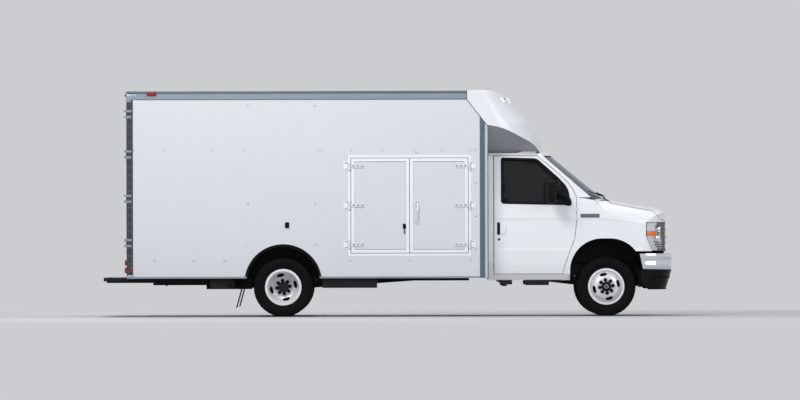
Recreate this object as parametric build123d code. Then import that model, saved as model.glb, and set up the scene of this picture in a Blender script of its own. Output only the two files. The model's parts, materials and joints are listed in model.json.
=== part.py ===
from build123d import *
import math
import os

# A box truck on a cutaway van chassis, in millimetres.
# +X is forward, +Y is the driver's side, which is left, and +Z is up from the road.
# The origin lies on the road under the middle of the truck.

# Lengths along the truck
WHEELBASE = 4013.0
FRONT_OVERHANG = 862.0
CAB_BACK = 1464.0
CAB_BOX_GAP = 10.5
BOX_LENGTH = 4479.5
STEP_REACH = 294.0
LENGTH = FRONT_OVERHANG + CAB_BACK + CAB_BOX_GAP + BOX_LENGTH + STEP_REACH
FRONT_AXLE_X = LENGTH / 2 - FRONT_OVERHANG
REAR_AXLE_X = FRONT_AXLE_X - WHEELBASE
CAB_BACK_X = FRONT_AXLE_X - CAB_BACK
BOX_FRONT_X = CAB_BACK_X - CAB_BOX_GAP
BOX_REAR_X = BOX_FRONT_X - BOX_LENGTH

# Clearances
GAP = 6.0
SEAT = 0.3
RUNNING = 0.1

# Load box
BOX_HALF = 1219.0
BOX_BOTTOM_Z = 478.0
BOX_TOP_Z = 2802.0
WALL = 40.0
TRIM_PROUD = 3.0
WALL_OUT = BOX_HALF - TRIM_PROUD
WALL_IN = WALL_OUT - WALL
TOP_RAIL_HEIGHT = 105.0
BOTTOM_RAIL_HEIGHT = 22.0
REAR_POST_DEPTH = 80.0
REAR_POST_WIDTH = 70.0
FRONT_POST_DEPTH = 98.5
FLOOR_TOP_Z = 770.0
FLOOR_THICK = 60.0
SILL_HEIGHT = 40.0
SILL_LENGTH = 60.0
SILL_COUNT = 9
ROOF_THICK = 30.0
ROOF_DROP = 8.0
DOOR_THICK = 40.0
ARCH_RADIUS = 460.0
ARCH_Z = 420.0
TUB_INNER_Y = 690.0
TUB_SHEET = 8.0
FLAP_INNER_Y = 720.0
RAIL_BASE_Z = BOX_TOP_Z - TOP_RAIL_HEIGHT
FLOOR_BASE_Z = FLOOR_TOP_Z - FLOOR_THICK
FRAME_TOP_Z = FLOOR_BASE_Z - SILL_HEIGHT

# Side door opening, behind the front axle and above the road
SIDE_DOOR_REAR = 3175.0
SIDE_DOOR_FRONT = 1712.5
SIDE_DOOR_Z = (785.0, 1972.0)
HINGE_HEIGHTS = (110.0, 597.0, 1083.5)
REAR_HINGE_HEIGHTS = (150.0, 700.0, 1250.0, 1750.0)

# Strap hinges: the pin stands clear of the wall, and the strap runs onto the leaf
PIN_STANDOFF = 18.0
PIN_SETBACK = 12.0
PIN_RADIUS = 6.0
BARREL_RADIUS = 12.0
STRAP_THICK = 6.0
STRAP_HEIGHT = 42.0
STRAP_REACH = 175.0
HINGE_HEIGHT = 100.0
HINGE_PLATE = 62.0

# Ladder frame
RAIL_Y = 430.0
RAIL_WIDTH = 60.0
RAIL_HEIGHT = 170.0
RAIL_SHEET = 7.0
FRAME_BASE_Z = FRAME_TOP_Z - RAIL_HEIGHT
CROSS_WIDTH = 80.0
CROSS_HEIGHT = 60.0
CROSS_PLACES = (-1350.0, -2050.0, -2750.0, -3450.0, -4850.0, -5550.0)
ENGINE_CROSS_PLACES = (-600.0, 0.0)

# Wheels and tyres
TYRE_RADIUS = 368.0
TYRE_HALF = 112.5
RIM_HALF = 84.0
RIM_RADIUS = 205.0
FLANGE_RADIUS = 226.0
FLANGE_THICK = 8.0
DISC_THICK = 12.0
DISC_OFFSET = 134.0
HUB_RADIUS = 60.0
LUG_COUNT = 8
LUG_CIRCLE = 82.55
LUG_RADIUS = 11.0
SLOT_COUNT = 4
SLOT_CIRCLE = 153.0
SLOT_LENGTH = 80.0
SLOT_WIDTH = 25.0
FRONT_TRACK_Y = 881.5
DUAL_CENTRE_Y = 950.0
SPINDLE_RADIUS = 28.0
AXLE_RADIUS = 45.0
KINGPIN_Y = 790.0
KINGPIN_RADIUS = 18.0
KINGPIN_HALF = 75.0
BOSS_RADIUS = 30.0
BOSS_HALF = 45.0

# Cab
CAB_SKIN = 60.0
CLIP_SKIN = 40.0
FLOOR_Z = 690.0
CAB_FLOOR_THICK = 30.0
FIREWALL_X = 490.0
TUNNEL_HALF = 300.0
TUNNEL_TOP_Z = 1120.0
COVER_SHEET = 25.0
CREASE_Z = 1220.0
WINDSHIELD_SLOPE = 1.22
WINDSHIELD_RADIUS = 2650.0
WINDSHIELD_FOOT = (30.0, 1440.0)
GLASS_THICK = 6.0
DOOR_BOTTOM_Z = 524.0
DOOR_TOP_Z = 2003.0
DOOR_REAR = 1401.0
DOOR_INNER_Y = 800.0
JAMB_Y = 941.0
REAR_GAP = 9.0
REBATE = 30.0
REBATE_SKIN = 15.0
DOOR_FRONT = 364.0
HOOD_REAR = 60.0
HOOD_GAP = 8.0
HOOD_SKIN = 35.0
ARCH_HALF = 450.0
ARCH_TOP_Z = 966.0
ARCH_CORNER = 400.0
COWL_Y = 790.0
LAMP_X = 496.0
LAMP_Z = (806.0, 1168.0)
LAMP_Y = 560.0
LAMP_DEPTH = 90.0
GRILLE_BARS = 3
GRILLE_BAR = 34.0
BUMPER_Z = (572.0, 778.0)
BUMPER_SKIN = 25.0
BUMPER_WIDER = 3.0
BUMPER_SHIFT = FRONT_OVERHANG - 772.0
VALANCE_INSET = 5.0
BUMPER_REAR = 415.0
VALANCE_Z = (330.0, 572.0)
VALANCE_REAR = 430.0
# Front of the valance at its foot and its top, ahead of the front axle
VALANCE_FRONT = (767.0, 842.0)

# Half cross-section of the whole cab: half width, height
CAB_SECTION = (
    (930, 448), (985, 530), (1001, 640), (1008, 819), (1001, 850), (1001, 1190),
    (1008, CREASE_Z), (990, 1403), (868, 1985), (820, 2025),
)
CAB_CROWN_Z = 2068.0
# Half cross-section at the front axle and at the nose: half width, height, with as many rows
CLIP_SECTION = (
    (930, 448), (985, 530), (1001, 640), (1008, 819), (1001, 850), (1001, 1190), (1008, CREASE_Z),
    (1003, 1268), (987, 1318), (958, 1362), (912, 1400), (850, 1424), (790, 1434),
)
CLIP_CROWN_Z = 1450.0
NOSE_SECTION = (
    (930, 448), (985, 530), (1001, 640), (1008, 819), (1001, 850), (995, 1085), (990, 1112),
    (980, 1142), (964, 1172), (940, 1204), (902, 1240), (852, 1262), (790, 1280),
)
NOSE_CROWN_Z = 1326.0
NOSE_X = 769.0
# Brow between hood and nose, seen from the side
BROW = ((570.0, 1362.0), (700.0, 1305.0), (NOSE_X + 2, 1150.0))
# Front corner in plan: ahead of the front axle, half width
CORNER_START = (380.0, 1012.0)
CORNER_MIDDLE = (640.0, 905.0)
CORNER_END = (735.0, 640.0)

# Side outlines: ahead of the front axle, height
DOOR_OUTLINE = (
    (-DOOR_REAR, DOOR_BOTTOM_Z), (-DOOR_REAR, DOOR_TOP_Z), (-850, DOOR_TOP_Z - 5), (-560, 1752),
    (-455, 1645), (-400, 1560), (-DOOR_FRONT, 1470), (-DOOR_FRONT, 1180), (-387, 963),
    (-436, 839), (-518, 611), (-533, DOOR_BOTTOM_Z),
)
WINDOW_OUTLINE = (
    (-1281, 1403), (-1303, 1425), (-1301, 1955), (-1285, 1970), (-861, 1958), (-593, 1720),
    (-505, 1625), (-466, 1546), (-454, 1435), (-505, 1387),
)
FENDER_TOP = ((-DOOR_FRONT, 1478), (-200, 1452), (0, 1411), (570, 1307), (705, 1186), (900, 1176))

# Mud flap, behind the rear axle: distance back, height
FLAP_OUTLINE = ((487, 480), (477, 480), (577, 112), (587, 112))

# Nose cap, by level: front at the middle, corner end, half width there, side start,
# first by height where it stands on the cab, then by depth below the cap's top
CAP_FOOT_LEVELS = (
    (2020, -762, -800, 555, -1320),
    (2083, -770, -808, 560, -1325),
)
CAP_BROW_LEVELS = (
    (612, -802, -842, 580, -1335),
    (530, -843, -885, 590, -1350),
    (409, -907, -950, 600, -1385),
    (330, -986, -1031, 620, -1415),
    (250, -1067, -1112, 640, -1445),
    (151, -1175, -1222, 670, -1480),
    (76, -1244, -1293, 700, -1520),
    (28, -1306, -1354, 720, -1550),
    (0, -1375, -1423, 740, -1590),
)
CAP_RISE = 10.0
CAP_TOP_Z = BOX_TOP_Z + CAP_RISE
# Lower edge of the cap's sides: ahead of the front axle, height, half width there
CAP_LIP = (
    (-1850, 2408, 1219), (-1475, 2380, 1219), (-1340, 2354, 1217), (-1255, 2324, 1198), (-1176, 2284, 1160),
    (-1097, 2236, 1105), (-1018, 2186, 1030), (-940, 2134, 930), (-890, 2092, 850), (-850, 2056, 790),
)
CAP_SKIN = 15.0
CAP_REAR = 1731.0
CAP_EDGE_TOP_Z = RAIL_BASE_Z - 8.0
CAP_EDGE_FOOT_Z = 2366.0
CAP_SOFFIT_Y = 740.0
CAP_SOFFIT_Z = 2031.0
CAP_FLOOR_Z = 2085.0

# Small hinges of cab doors and hood
HINGE_PIN = 3.0
EAR_RADIUS = 5.0
EAR_MIDDLE = 13.0
EAR_END = 25.0
DOOR_HINGE_Z = (1230.0, 1330.0)
HOOD_HINGE_Y = 500.0
HOOD_HINGE_Z = 1438.5

# Mirrors: head, foot on the door, and the two arms' heights at the foot with their rise
MIRROR_X = (-739.0, -630.0)
MIRROR_Y = (1120.0, 1340.0)
MIRROR_Z = (1400.0, 1680.0)
MIRROR_ROUND = 45.0
MIRROR_FOOT_X = (-525.0, -425.0)
MIRROR_FOOT_Y = (940.0, 1015.0)
MIRROR_FOOT_Z = (1370.0, 1478.0)
MIRROR_ARM_RADIUS = 11.0
MIRROR_ARMS = ((1405.0, 50.0), (1450.0, 150.0))
LINER_SHEET = 8.0

# Cab inside: dashboard outline, steering wheel and seats
DASH_OUTLINE = ((-480, 1180), (-470, 1330), (-380, 1395), (-131, 1395), (-131, 1091), (-440, 1091))
DRIVER_Y = 430.0
STEERING_WHEEL = (-610.0, 1330.0)
STEERING_RADIUS = 185.0
STEERING_TUBE = 14.0
COVER_X = (-765.0, -430.0)
SEAT_Y = 480.0
SEAT_HALF = 240.0
SEAT_BASE_HALF = 175.0
SEAT_BASE_X = (-1260.0, -820.0)
CUSHION_X = (-1300.0, -790.0)
CUSHION_Z = (930.0, 1060.0)
SEAT_BACK = ((-1300, 0), (-1180, 0), (-1240, 620), (-1340, 620), (-1375, 440))

# Rear step: half width, heights, and the bores in it
STEP_HALF = 950.0
STEP_Z = (443.0, 488.0)
STEP_ARM_Z = 420.0
STEP_ARM_FRONT = -5340.0
TOW_HOLE_RADIUS = 12.7
TOW_HOLE_REACH = 120.0
PLATE_HOLE_Y = 88.9
PLATE_HOLE_Z = 465.0
PLATE_HOLE_RADIUS = 3.5

# Lamps at the rear
LAMP_PROUD = 18.0
MARKER_PLACES = (-150.0, 0.0, 150.0)
MARKER_HALF = 25.0
TAIL_LAMP_PLACES = (545.0, 640.0)
TAIL_LAMP_HALF = 30.0
TAIL_LAMP_HEIGHT = 70.0
RAIL_LAMP_X = (252.0, 371.0)

# Exhaust, on the right of the gearbox
PIPE_Y = -250.0
PIPE_Z = 520.0
PIPE_RADIUS = 32.0
PIPE_TURN_X = -4670.0
PIPE_LOW_Z = 400.0
CAN_X = (-1700.0, -2400.0)
CAN_RADIUS = 78.0
TAIL_CAN = ((-4921, -4620), (-1150, -700), (345, 470))
TAIL_TIP_RADIUS = 37.0
TAIL_TIP_Z = 385.0


def ahead(x):
    """Place of a distance ahead of the front axle."""
    return FRONT_AXLE_X + x


def block(x0, x1, y0, y1, z0, z1):
    """Box between three pairs of places."""
    centre = Pos((x0 + x1) / 2, (y0 + y1) / 2, (z0 + z1) / 2)
    return centre * Box(abs(x1 - x0), abs(y1 - y0), abs(z1 - z0))


def both_sides(shape):
    """A left-hand shape with its mirror image."""
    return Compound([*shape.solids(), *mirrored(shape).solids()])


def mirrored(shape):
    return mirror(shape, about=Plane.XZ)


def for_side(shape, side):
    """The left-hand shape for side 1, its mirror image for side -1."""
    return shape if side > 0 else mirrored(shape)


def side_prism(points, y0, y1):
    """Outline of distances ahead of the front axle and heights, between two places across."""
    edge = Polyline(*[(ahead(x), y0, z) for x, z in points], close=True)
    return extrude(make_face(edge), amount=y1 - y0, dir=(0, 1, 0))


def rod(start, end, radius):
    """Round bar between two points."""
    line = Line(start, end)
    return sweep(Plane(origin=start, z_dir=line % 0) * Circle(radius), path=line)


def across(radius, y0, y1, x, z):
    """Cylinder across the truck."""
    plane = Plane(origin=(x, y0, z), x_dir=(1, 0, 0), z_dir=(0, 1, 0))
    return extrude(plane * Circle(radius), amount=y1 - y0)


def upright(radius, z0, z1, x, y):
    """Vertical cylinder."""
    return extrude(Pos(x, y, z0) * Circle(radius), amount=z1 - z0)


def shape_of(parts):
    """One node's shape from several solids that don't touch."""
    return Compound([solid for part in parts for solid in part.solids()])


def largest(shape):
    """The biggest solid of a shape, without the crumbs that a cut leaves."""
    return Compound(sorted(shape.solids(), key=lambda s: -s.volume)[:1])


def fused(parts):
    whole = parts[0]
    for part in parts[1:]:
        whole = whole + part
    return whole


# Cab forms

def section_face(half, crown_z, x, inset):
    """Cross-section closed by a crown arc, drawn in by inset."""
    outline = [(-y, z) for y, z in reversed(half)] + [(y, z) for y, z in half]
    edge = Polyline(*outline) + ThreePointArc(outline[-1], (0, crown_z), outline[0])
    face = make_face(edge)
    if inset:
        face = offset(face, amount=-inset, kind=Kind.INTERSECTION)
    return Plane.YZ.offset(x) * face


def windshield_wedge(inset):
    """Everything behind the raked, bowed windshield surface."""
    low, high = 1100.0, 2300.0
    foot_x, foot_z = WINDSHIELD_FOOT
    drawn = inset * math.hypot(1, WINDSHIELD_SLOPE)
    foot = ahead(foot_x + (foot_z - low) * WINDSHIELD_SLOPE - drawn)
    wide = 1300.0
    side = foot - (WINDSHIELD_RADIUS - math.sqrt(WINDSHIELD_RADIUS**2 - wide**2))
    back = CAB_BACK_X - 500
    arc = ThreePointArc((side, wide, low), (foot, 0, low), (side, -wide, low))
    edge = Polyline((side, -wide, low), (back, -wide, low), (back, wide, low), (side, wide, low)) + arc
    rise = high - low
    length = rise * math.hypot(1, WINDSHIELD_SLOPE)
    return extrude(make_face(edge), amount=length, dir=(-WINDSHIELD_SLOPE, 0, 1)) + block(
        back - 3000, back + 1, -wide, wide, low, high
    )


def nose_face(inset, forward, z):
    """Plan outline of the front at a height, bowed across and round at the corners."""
    shift = ahead(forward)
    start = (shift + CORNER_START[0], CORNER_START[1] - inset)
    middle = (shift + CORNER_MIDDLE[0] - 0.62 * inset, CORNER_MIDDLE[1] - 0.78 * inset)
    end = (shift + CORNER_END[0] - inset, CORNER_END[1] - 0.35 * inset)
    front = (shift + NOSE_X - inset, 0)
    back = ahead(-700)
    wide = CORNER_START[1] - inset
    outline = (
        Line((back, wide), start)
        + ThreePointArc(start, middle, end)
        + ThreePointArc(end, front, (end[0], -end[1]))
        + ThreePointArc((end[0], -end[1]), (middle[0], -middle[1]), (start[0], -start[1]))
        + Polyline((start[0], -start[1]), (back, -wide), (back, wide))
    )
    return Pos(0, 0, z) * make_face(outline)


def nose_plan(inset, low, high, forward=0.0):
    """Everything behind the front's plan outline, between two heights."""
    return extrude(nose_face(inset, forward, low), amount=high - low)


def cab_form(inset):
    """Outer form of cab and front end, or the same form drawn in by inset."""
    back = CAB_BACK_X + inset
    cabin = extrude(section_face(CAB_SECTION, CAB_CROWN_Z, back, inset), amount=ahead(0) - back)
    cabin = cabin & (windshield_wedge(inset) + block(back - 100, ahead(5), -1300, 1300, 0, 1150))
    middle = extrude(
        section_face(CLIP_SECTION, CLIP_CROWN_Z, ahead(-DOOR_FRONT - 40), inset),
        amount=DOOR_FRONT + 40,
    )
    clip = loft(
        [
            section_face(CLIP_SECTION, CLIP_CROWN_Z, ahead(0), inset),
            section_face(NOSE_SECTION, NOSE_CROWN_Z, ahead(NOSE_X + 10), inset),
        ],
        ruled=True,
    )
    rear, foot, top = ahead(-500), 300, 1700
    first, second, last = [(ahead(x - inset), 0, z) for x, z in BROW]
    second = (second[0], 0, second[2] - inset * 0.4)
    brow = (
        Polyline((rear, 0, foot), (rear, 0, top), (first[0], 0, top), first)
        + ThreePointArc(first, second, last)
        + Polyline(last, (last[0], 0, foot), (rear, 0, foot))
    )
    profile = extrude(make_face(brow), amount=1300, dir=(0, 1, 0))
    profile = profile + mirrored(profile)
    front = (middle + clip) & profile & nose_plan(inset, 300, 1800)
    return cabin + front


def door_prism(shrink, side, inner_y):
    """Side outline of the cab door, drawn in by shrink, outside inner_y on one side."""
    edge = Polyline(*[(ahead(x), 0, z) for x, z in DOOR_OUTLINE], close=True)
    face = make_face(edge)
    if shrink:
        face = offset(face, amount=-shrink, kind=Kind.INTERSECTION)
    outside = block(ahead(-3000), ahead(900), inner_y, 1300, 300, 2300)
    prism = extrude(face, amount=1300, dir=(0, 1, 0)) & outside
    return for_side(prism, side)


def window_prism():
    return side_prism(WINDOW_OUTLINE, 600, 1300)


def windshield_prism():
    """Front view of the windshield opening, run along the truck."""
    points = ((-928, 1462), (-818, 1998), (818, 1998), (928, 1462))
    edge = Polyline(*[(ahead(-1000), y, z) for y, z in points], close=True)
    return extrude(make_face(edge), amount=1300, dir=(1, 0, 0))


def arch_outline(shrink):
    """Side view of the front wheel opening: straight sides, round shoulders."""
    half = ARCH_HALF - shrink
    top = ARCH_TOP_Z - shrink
    corner = ARCH_CORNER - shrink
    foot = 300.0
    bend = corner * (1 - math.sqrt(0.5))
    rear, front, shoulder = ahead(-half), ahead(half), top - corner
    rear_top, front_top = (ahead(corner - half), 0, top), (ahead(half - corner), 0, top)
    return (
        Polyline((rear, 0, shoulder), (rear, 0, foot), (front, 0, foot), (front, 0, shoulder))
        + ThreePointArc((front, 0, shoulder), (front - bend, 0, top - bend), front_top)
        + Line(front_top, rear_top)
        + ThreePointArc(rear_top, (rear + bend, 0, top - bend), (rear, 0, shoulder))
    )


def arch_prism(shrink, y0, y1):
    return Pos(0, y0, 0) * extrude(make_face(arch_outline(shrink)), amount=y1 - y0, dir=(0, 1, 0))


def below_fender_top(rise):
    """Everything below the seam between hood and fender, moved up by rise."""
    points = [(x, z + rise) for x, z in FENDER_TOP]
    return side_prism([(-900, 200), *[(-900, points[0][1]), *points], (900, 200)], -1300, 1300)


def make_cab(nodes):
    outer = cab_form(0)
    inner = cab_form(CAB_SKIN)
    clip_inner = cab_form(CLIP_SKIN)
    front_zone = block(ahead(-560), ahead(900), -1300, 1300, 200, 1700)
    door_holes = door_prism(0, 1, DOOR_INNER_Y - GAP) + door_prism(0, -1, DOOR_INNER_Y - GAP)
    door_faces = door_prism(0, 1, JAMB_Y - GAP) + door_prism(0, -1, JAMB_Y - GAP)
    arches = arch_prism(0, 560, 1300)
    arches = arches + mirrored(arches)
    below = below_fender_top(0)
    hood_zone = block(ahead(HOOD_REAR), ahead(900), -1300, 1300, 1100, 1700)
    under_nose = block(ahead(360), ahead(900), -1300, 1300, 200, LAMP_Z[0])
    cheek = block(ahead(-560), ahead(900), COWL_Y, 1300, 200, 1600)
    cheek = cheek + mirrored(cheek)
    front_face = block(ahead(HOOD_REAR), ahead(900), -1300, 1300, LAMP_Z[1], 1600)

    # The cabin shell keeps what is behind the door's front seam
    rear_of_seam = side_prism(
        [
            (-1700, 300), (-1700, 2300), (200, 2300), (200, 1478), (-DOOR_FRONT, 1478),
            *DOOR_OUTLINE[6:], (-539, 300),
        ],
        -1300, 1300,
    )
    cowl = block(ahead(-DOOR_FRONT), ahead(HOOD_REAR - HOOD_GAP), -COWL_Y, COWL_Y, 1330, 1700)
    shell = outer - inner
    cabin = (shell & (rear_of_seam + cowl)) - door_holes - windshield_prism()
    cabin = cabin - block(CAB_BACK_X - 10, ahead(100), -700, 700, 300, FLOOR_Z)
    rear, front = CAB_BACK_X + CAB_SKIN - 1, ahead(-FIREWALL_X + 30)
    floor = block(rear, front, -730, 730, FLOOR_Z, FLOOR_Z + CAB_FLOOR_THICK)
    risers = block(rear, front, 700, 730, 500, FLOOR_Z + 5)
    fire_low = block(ahead(-FIREWALL_X), ahead(-FIREWALL_X + 30), -960, 960, 480, 1090)
    shelf = block(ahead(-FIREWALL_X), ahead(-100), -960, 960, 1060, 1090)
    fire_high = block(ahead(-130), ahead(-100), -960, 960, 1060, 1440)
    panels = floor + risers + mirrored(risers) + fire_low + shelf + fire_high
    panels = panels & (cab_form(CAB_SKIN - 1))
    tunnel = block(ahead(-765), ahead(-90), -TUNNEL_HALF, TUNNEL_HALF, 300, TUNNEL_TOP_Z)
    under_floor = block(CAB_BACK_X - 10, ahead(100), -700, 700, 300, FLOOR_Z)
    cabin = cabin + (panels - tunnel - door_faces - under_floor)
    for pad_x in (-1330, -830):
        rail_in, rail_out = RAIL_Y - RAIL_WIDTH / 2, RAIL_Y + RAIL_WIDTH / 2
        pad = block(ahead(pad_x - 40), ahead(pad_x + 40), rail_in, rail_out, FRAME_TOP_Z, FLOOR_Z + 1)
        cabin = cabin + pad + mirrored(pad)
    nodes["cab_body"] = cabin

    # Fenders, with the strip over each headlamp
    clip_shell = (outer - clip_inner) & front_zone
    fenders = (clip_shell & below) - arches - under_nose - door_holes
    fenders = fenders - rear_of_seam
    lamp_zone = side_prism(
        [
            (LAMP_X, LAMP_Z[1]), (900, LAMP_Z[1]), (900, LAMP_Z[0]), (LAMP_X + 75, LAMP_Z[0]),
            (LAMP_X, 985),
        ],
        LAMP_Y, 1300,
    )
    middle_face = block(ahead(600), ahead(900), -LAMP_Y, LAMP_Y, 200, 1700)
    fenders = fenders & (cheek + front_face)
    fenders = fenders - lamp_zone - mirrored(lamp_zone) - middle_face
    fenders = fenders - block(ahead(-560), ahead(900), -900, 900, 300, 700)
    fender = sorted([s for s in fenders.solids() if s.center().Y > 0], key=lambda s: -s.volume)[0]

    # Hood, hinged along its rear edge
    hood = ((outer - cab_form(HOOD_SKIN)) & hood_zone)
    hood = hood & block(ahead(HOOD_REAR), ahead(900), -1300, 1300, LAMP_Z[1] + GAP, 1700)
    lip = block(ahead(600), ahead(900), GAP - LAMP_Y, LAMP_Y - GAP, 200, 1700)
    hood = hood - (below_fender_top(GAP) - lip)
    ears = hood_hinges()
    hood = largest(hood)
    hood = hood - ears[2] + ears[1]
    nodes["hood"] = hood
    nodes["cab_body"] = nodes["cab_body"] + ears[0]

    # Headlamps and grille
    lamp = (outer - cab_form(LAMP_DEPTH)) & lamp_zone
    nodes["headlamps"] = both_sides(largest(lamp))
    face = (outer - clip_inner) & block(ahead(600), ahead(900), -LAMP_Y, LAMP_Y, *LAMP_Z)
    pitch = (LAMP_Z[1] - LAMP_Z[0] - GRILLE_BAR) / (GRILLE_BARS + 1)
    for row in range(GRILLE_BARS + 1):
        low = LAMP_Z[0] + GRILLE_BAR + row * pitch
        face = face - block(ahead(600), ahead(900), -LAMP_Y + 30, LAMP_Y - 30, low, low + pitch - GRILLE_BAR)
    screen = (cab_form(CLIP_SKIN - 8) - clip_inner) & block(
        ahead(600), ahead(900), -LAMP_Y + 10, LAMP_Y - 10, LAMP_Z[0] + 10, LAMP_Z[1] - 10
    )
    nodes["grille"] = face + screen

    # Windshield
    glass = (windshield_wedge(12) - windshield_wedge(12 + GLASS_THICK)) & windshield_prism()
    glass = glass & outer
    nodes["windshield"] = largest(glass)

    # Doors, glass and mirrors
    leaf = door_prism(GAP, 1, DOOR_INNER_Y)
    door_left = (shell & leaf) - window_prism()
    rear_edge = ahead(-DOOR_REAR)
    door_left = door_left - block(rear_edge, rear_edge + REAR_GAP, 600, 1300, 300, 2300)
    door_left = door_left - (block(rear_edge, rear_edge + REBATE, 600, 1300, 300, 2300) & cab_form(REBATE_SKIN))
    pane = ((cab_form(20) - cab_form(20 + GLASS_THICK)) & window_prism()) & leaf
    ears = cab_door_hinges()
    nodes["fenders"] = both_sides(fender - ears[2] + ears[0])
    door_left = door_left - ears[3] + ears[1]
    mirror_left = make_mirror() - outer
    mirror_left = Compound([s for s in mirror_left.solids() if s.volume > 1000])
    for name, side in (("left", 1), ("right", -1)):
        nodes["cab_door_" + name] = for_side(door_left, side)
        nodes["door_glass_" + name] = for_side(pane, side)
        nodes["mirror_" + name] = for_side(mirror_left, side)


def cab_door_hinges():
    """Fixed ears with pins, moving ears with bores, and the room each needs in the other side."""
    fixed, moving, in_fender, in_door = [], [], [], []
    x, y = ahead(-DOOR_FRONT) - GAP / 2, 1009.0
    for z in DOOR_HINGE_Z:
        fixed.append(upright(HINGE_PIN, z - EAR_END, z + EAR_END, x, y))
        for low, high in ((z - EAR_END, z - EAR_MIDDLE - 2), (z + EAR_MIDDLE + 2, z + EAR_END)):
            fixed.append(upright(EAR_RADIUS, low, high, x, y) + block(x, x + 14, y - 36, y, low, high))
        ear = upright(EAR_RADIUS, z - EAR_MIDDLE, z + EAR_MIDDLE, x, y)
        ear = ear + block(x - 14, x, y - 36, y, z - EAR_MIDDLE, z + EAR_MIDDLE)
        moving.append(ear - upright(HINGE_PIN + RUNNING, z - EAR_END, z + EAR_END, x, y))
        in_fender.append(upright(EAR_RADIUS + 2, z - EAR_MIDDLE - 2, z + EAR_MIDDLE + 2, x, y))
        in_door.append(upright(EAR_RADIUS + 2, z - EAR_END - 2, z + EAR_END + 2, x, y))
    return fused(fixed), fused(moving), fused(in_fender), fused(in_door)


def hood_hinges():
    """Ears and pins along the hood's rear edge: fixed, moving, and the room they need."""
    fixed, moving, room = [], [], []
    x, z = ahead(HOOD_REAR - HOOD_GAP / 2), HOOD_HINGE_Z
    for y in (-HOOD_HINGE_Y, HOOD_HINGE_Y):
        fixed.append(across(HINGE_PIN, y - EAR_END, y + EAR_END, x, z))
        for low, high in ((y - EAR_END, y - EAR_MIDDLE - 2), (y + EAR_MIDDLE + 2, y + EAR_END)):
            fixed.append(across(EAR_RADIUS, low, high, x, z) + block(x - 14, x, low, high, z - 30, z))
        ear = across(EAR_RADIUS, y - EAR_MIDDLE, y + EAR_MIDDLE, x, z)
        ear = ear + block(x, x + 14, y - EAR_MIDDLE, y + EAR_MIDDLE, z - 30, z)
        moving.append(ear - across(HINGE_PIN + RUNNING, y - EAR_END, y + EAR_END, x, z))
        room.append(across(EAR_RADIUS + 2, y - EAR_END - 2, y + EAR_END + 2, x, z))
    return fused(fixed), fused(moving), fused(room)


def make_mirror():
    """Left mirror: a tall head on two arms from the door's front window corner."""
    head = block(ahead(MIRROR_X[0]), ahead(MIRROR_X[1]), *MIRROR_Y, *MIRROR_Z)
    head = fillet(head.edges().filter_by(Axis.X), MIRROR_ROUND)
    foot_x = (ahead(MIRROR_FOOT_X[0]), ahead(MIRROR_FOOT_X[1]))
    start_x = sum(foot_x) / 2
    head_x = ahead(sum(MIRROR_X) / 2)
    arms = [
        rod((start_x, MIRROR_FOOT_Y[0] + 20, z), (head_x, MIRROR_Y[0] + 30, z + rise), MIRROR_ARM_RADIUS)
        for z, rise in MIRROR_ARMS
    ]
    return head + fused(arms) + block(*foot_x, *MIRROR_FOOT_Y, *MIRROR_FOOT_Z)


def make_liners(nodes):
    """Wheelhouse liners inside the fenders."""
    outer = arch_prism(SEAT, 552, 985)
    inner = arch_prism(LINER_SHEET, 560, 990)
    room = block(ahead(-500), ahead(500), 500, 1000, 450, 1000)
    behind_lamp = block(ahead(350), ahead(500), 940, 1000, 400, LAMP_Z[0])
    inner_low = block(ahead(-500), ahead(500), 500, 561, 400, FRAME_TOP_Z)
    nodes["wheelhouse_liners"] = both_sides(((outer - inner) & room) - inner_low - behind_lamp)


# Wheels

def turned(profile, y, x, z, side):
    """Ring from half-section points of distance out and radius, turned about a line across."""
    points = [(x, y + side * out, z + radius) for out, radius in profile]
    face = make_face(Polyline(*points, close=True))
    return revolve(face, axis=Axis((x, 0, z), (0, 1, 0)), revolution_arc=360)


def tyre(y, x):
    bead = RIM_HALF - FLANGE_THICK - 0.2
    half = [(bead, RIM_RADIUS + 0.2), (bead, 229), (TYRE_HALF, 272), (109, 330), (85, TYRE_RADIUS)]
    profile = half + [(-out, radius) for out, radius in reversed(half)]
    return turned(profile, y, x, TYRE_RADIUS, 1)


def rim_barrel():
    inner = RIM_RADIUS - FLANGE_THICK
    seat = RIM_HALF - FLANGE_THICK
    return [
        (-RIM_HALF, inner), (RIM_HALF, inner), (RIM_HALF, FLANGE_RADIUS), (seat, FLANGE_RADIUS),
        (seat, RIM_RADIUS), (-seat, RIM_RADIUS), (-seat, FLANGE_RADIUS), (-RIM_HALF, FLANGE_RADIUS),
    ]


def disc_profile(offset_out, edge, hole):
    """Wheel disc whose flat centre lies offset_out from the rim's middle."""
    inner = RIM_RADIUS - FLANGE_THICK + 1
    return [
        (edge, inner), (edge + 15, inner), (offset_out - 14, 150), (offset_out, 118), (offset_out, hole),
        (offset_out - DISC_THICK, hole), (offset_out - DISC_THICK, 113), (offset_out - 27, 145),
    ]


def round_places(count, circle, start):
    """Places round a circle, from a start angle in degrees."""
    turns = [math.radians(start + 360 * i / count) for i in range(count)]
    return [(circle * math.cos(turn), circle * math.sin(turn)) for turn in turns]


def vent_slots(y0, y1, x, z, start):
    """Vent slots, each lying along the circle."""
    slots = []
    for i in range(SLOT_COUNT):
        turn = start + 360 * i / SLOT_COUNT
        slot = Box(SLOT_WIDTH, y1 - y0, SLOT_LENGTH)
        slots.append(Pos(x, (y0 + y1) / 2, z) * Rot(0, -turn, 0) * Pos(SLOT_CIRCLE, 0, 0) * slot)
    return Compound([s for slot in slots for s in slot.solids()])


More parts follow.
